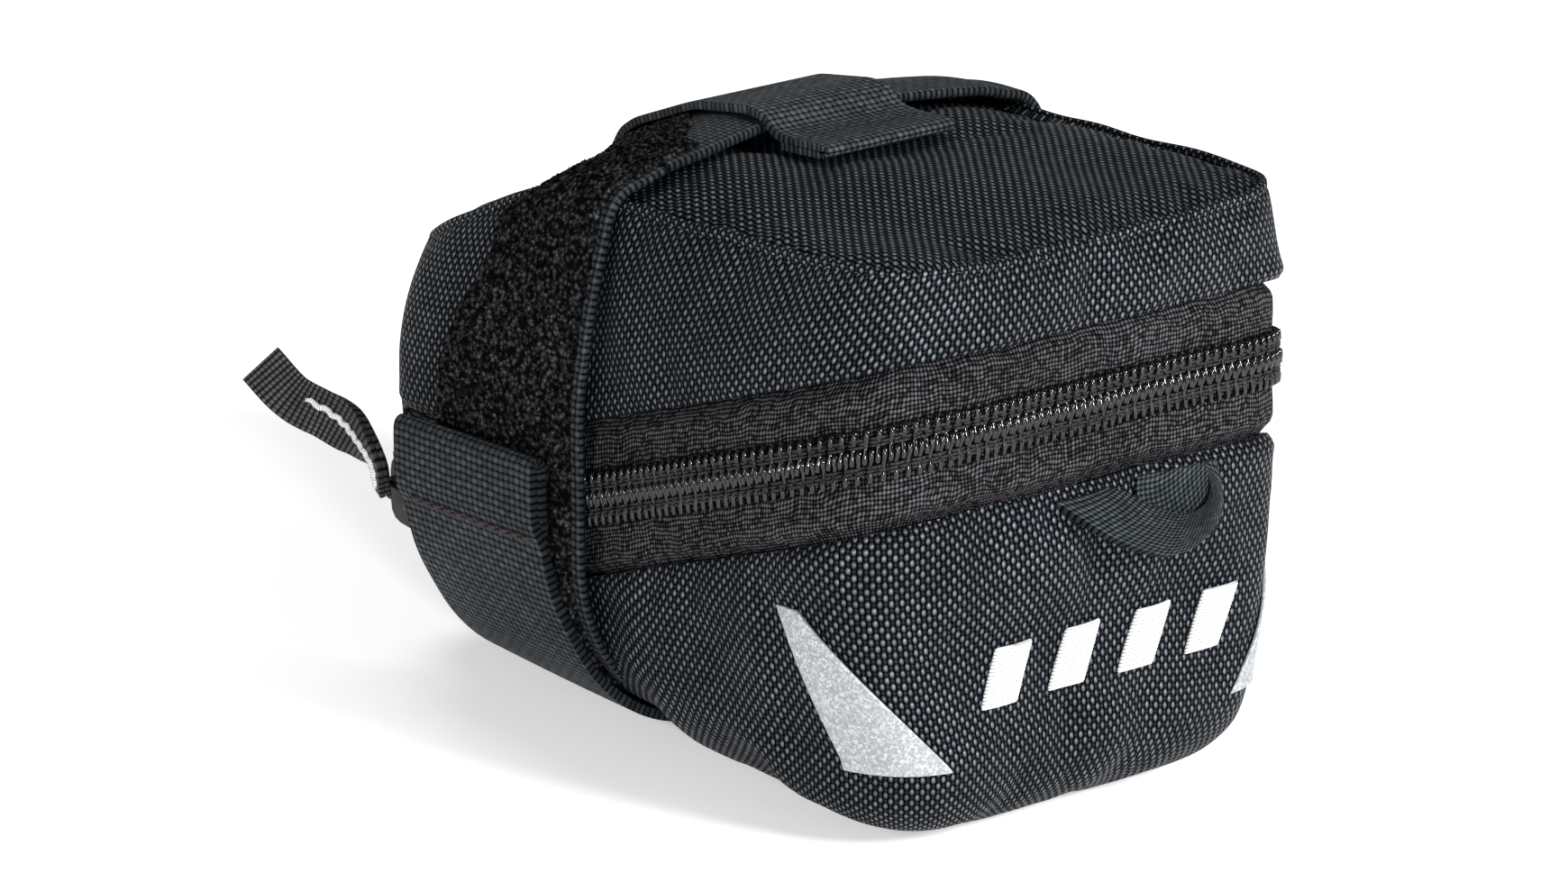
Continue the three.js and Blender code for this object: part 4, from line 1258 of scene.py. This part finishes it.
def pull():
    """Folded ribbed ribbon with a light reflective thread down its middle."""
    control = [(-37.9, 35.4, 28.6), (-38.9, 35.2, 32.3), (-39.8, 37.2, 34.9), (-41.0, 40.2, 36.8),
               (-43.5, 45.0, 39.0), (-45.8, 48.3, 43.0)]
    u = np.linspace(0, 1, 48)
    centre = smooth_path(control, 48)
    along = unit(np.gradient(centre, axis=0))
    twist = smooth((u - 0.1) / 0.75)[:, None]
    across = PULL_ROOT_ACROSS * (1 - twist) + PULL_TIP_ACROSS * twist
    across = unit(across - along * np.sum(across * along, -1, keepdims=True))
    face = np.cross(across, along)
    half = 1.7 + 1.1 * smooth(u / 0.35)[:, None]
    for label, lift in (("front", 0.72), ("back", -0.04)):
        curl = 0.3 * smooth((u - 0.8) / 0.2)[:, None] * (1 if lift > 0.1 else -1)
        grid = np.stack([centre + across * half * w + face * (lift + curl)
                         for w in np.linspace(1, -1, 30)], 1)
        obj = slab(f"pull_ribbon_{label}", grid, 0.68, PULL_CLOTH, edge=0.25)
        put(obj, "pull", "webbing", *(("pull_tab",) if label == "front" else ()))
    run = slice(2, 36)
    waver = 0.18 * np.sin(np.arange(48) * 1.9)[run, None]
    line = centre[run] + across[run] * (waver + 0.6) + face[run] * 0.85
    obj = tubes("pull_bright_thread", [line], 0.42, BRIGHT, 8, 0.8, [face[18]])
    put(obj, "pull", "reflective_film", "pull_reflective_thread")


def kept_nodes():
    """CAD nodes whose shape is right, with their finish and softened edges."""
    for node, material, width in (("zip_slider", METAL, 0.22), ("zip_stop_left", METAL, 0.2),
                                  ("zip_stop_right", METAL, 0.2), ("lid_foam", FOAM, 0),
                                  ("base_stiffener", BOARD, 0.3)):
        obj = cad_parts[node]
        obj.data.materials.clear()
        obj.data.materials.append(material)
        if width:
            round_edges(obj, width, 30, 3)


# ---- build ----
lid_band()
lid_top()
lid_seam()
lid_inside()
tape("zip_tape_upper_cloth", 0.25, TAPE_HALF + 2, "zip_tape_upper", "lid")
tape("zip_tape_lower_cloth", -0.25, -TAPE_HALF - 2, "zip_tape_lower", "body")
coil("zip_coil_upper_loops", 1, "zip_coil_upper", "lid")
coil("zip_coil_lower_loops", -1, "zip_coil_lower", "body")
body_wall()
front_panel()
base()
body_inside()
light_loop()
reflector("left", 1)
reflector("right", -1)
embroidered_bars()
belt()
hook_patch()
pile_arm()
keeper()
pull()
kept_nodes()


# ---- stage ----
AMBIENT = 0.24
FLOOR_HALF = 3.0


def stage():
    """White paper floor and studio light; the camera sees the background pure white."""
    floor = bpy.data.meshes.new("floor")
    corners = [(x * FLOOR_HALF, y * FLOOR_HALF, 0) for x, y in ((-1, -1), (1, -1), (1, 1), (-1, 1))]
    floor.from_pydata(corners, [], [(0, 1, 2, 3)])
    obj = bpy.data.objects.new("floor", floor)
    bpy.context.scene.collection.objects.link(obj)
    f = Finish("floor_paper")
    f.finish(Base_Color=colour(0.86, 0.86, 0.86), Roughness=0.8, Emission_Color=colour(1, 1, 1),
             Emission_Strength=0.3)
    floor.materials.append(f.material)
    world = bpy.data.worlds.new("studio")
    bpy.context.scene.world = world
    world.use_nodes = True
    tree = world.node_tree
    background = tree.nodes["Background"]
    background.inputs[0].default_value = (1, 1, 1, 1)
    seen = tree.nodes.new("ShaderNodeLightPath").outputs["Is Camera Ray"]
    strength = tree.nodes.new("ShaderNodeMapRange")
    strength.inputs["To Min"].default_value = AMBIENT
    strength.inputs["To Max"].default_value = 1.0
    tree.links.new(seen, strength.inputs["Value"])
    tree.links.new(strength.outputs[0], background.inputs[1])
    bpy.context.scene.view_settings.view_transform = "Standard"


def area_light(name, place, target, size, power):
    data = bpy.data.lights.new(name, "AREA")
    data.shape = "DISK"
    data.size = size
    data.energy = power
    light = bpy.data.objects.new(name, data)
    light.location = place
    light.rotation_mode = "QUATERNION"
    light.rotation_quaternion = (Vector(target) - Vector(place)).to_track_quat("-Z", "Y")
    bpy.context.scene.collection.objects.link(light)


VIEW_AZIMUTH = -41.43
VIEW_ELEVATION = 16.38
VIEW_DISTANCE = 1184.5
VIEW_CENTRE = (0, 0, 35)
LENS = 230.4
SHIFT_X = -0.0231
SHIFT_Y_VIEW = 0.0007


def camera():
    """Camera at the viewing angle: set in the level frame and tipped with the bag."""
    a, e = VIEW_AZIMUTH * RAD, VIEW_ELEVATION * RAD
    back = np.array([math.sin(a) * math.cos(e), -math.cos(a) * math.cos(e), math.sin(e)])
    right = np.array([math.cos(a), math.sin(a), 0.0])
    up = np.cross(back, right)
    origin = row((0, 0, 0))
    axes = [(row(v) - origin) / MM for v in (right, up, back)]
    place = row(np.array(VIEW_CENTRE) + back * VIEW_DISTANCE)
    data = bpy.data.cameras.new("camera")
    data.lens = LENS
    data.sensor_width = 36
    data.shift_x = SHIFT_X
    data.shift_y = SHIFT_Y_VIEW
    data.clip_start = 0.01
    obj = bpy.data.objects.new("camera", data)
    bpy.context.scene.collection.objects.link(obj)
    turn = Matrix(np.array(axes).T.tolist()).to_4x4()
    obj.matrix_world = Matrix.Translation(Vector(place)) @ turn
    bpy.context.scene.camera = obj


stage()
middle = (cad_box[0] + cad_box[1]) / 2
area_light("key", (0.35, -0.85, 0.55), middle, 0.3, 15)
area_light("side", (-0.9, -0.1, 0.35), middle, 0.4, 3.5)
area_light("top", (0.1, 0.45, 0.85), middle, 0.5, 3.2)
area_light("glint", (-0.45, -0.75, 0.2), middle, 0.12, 7)
camera()
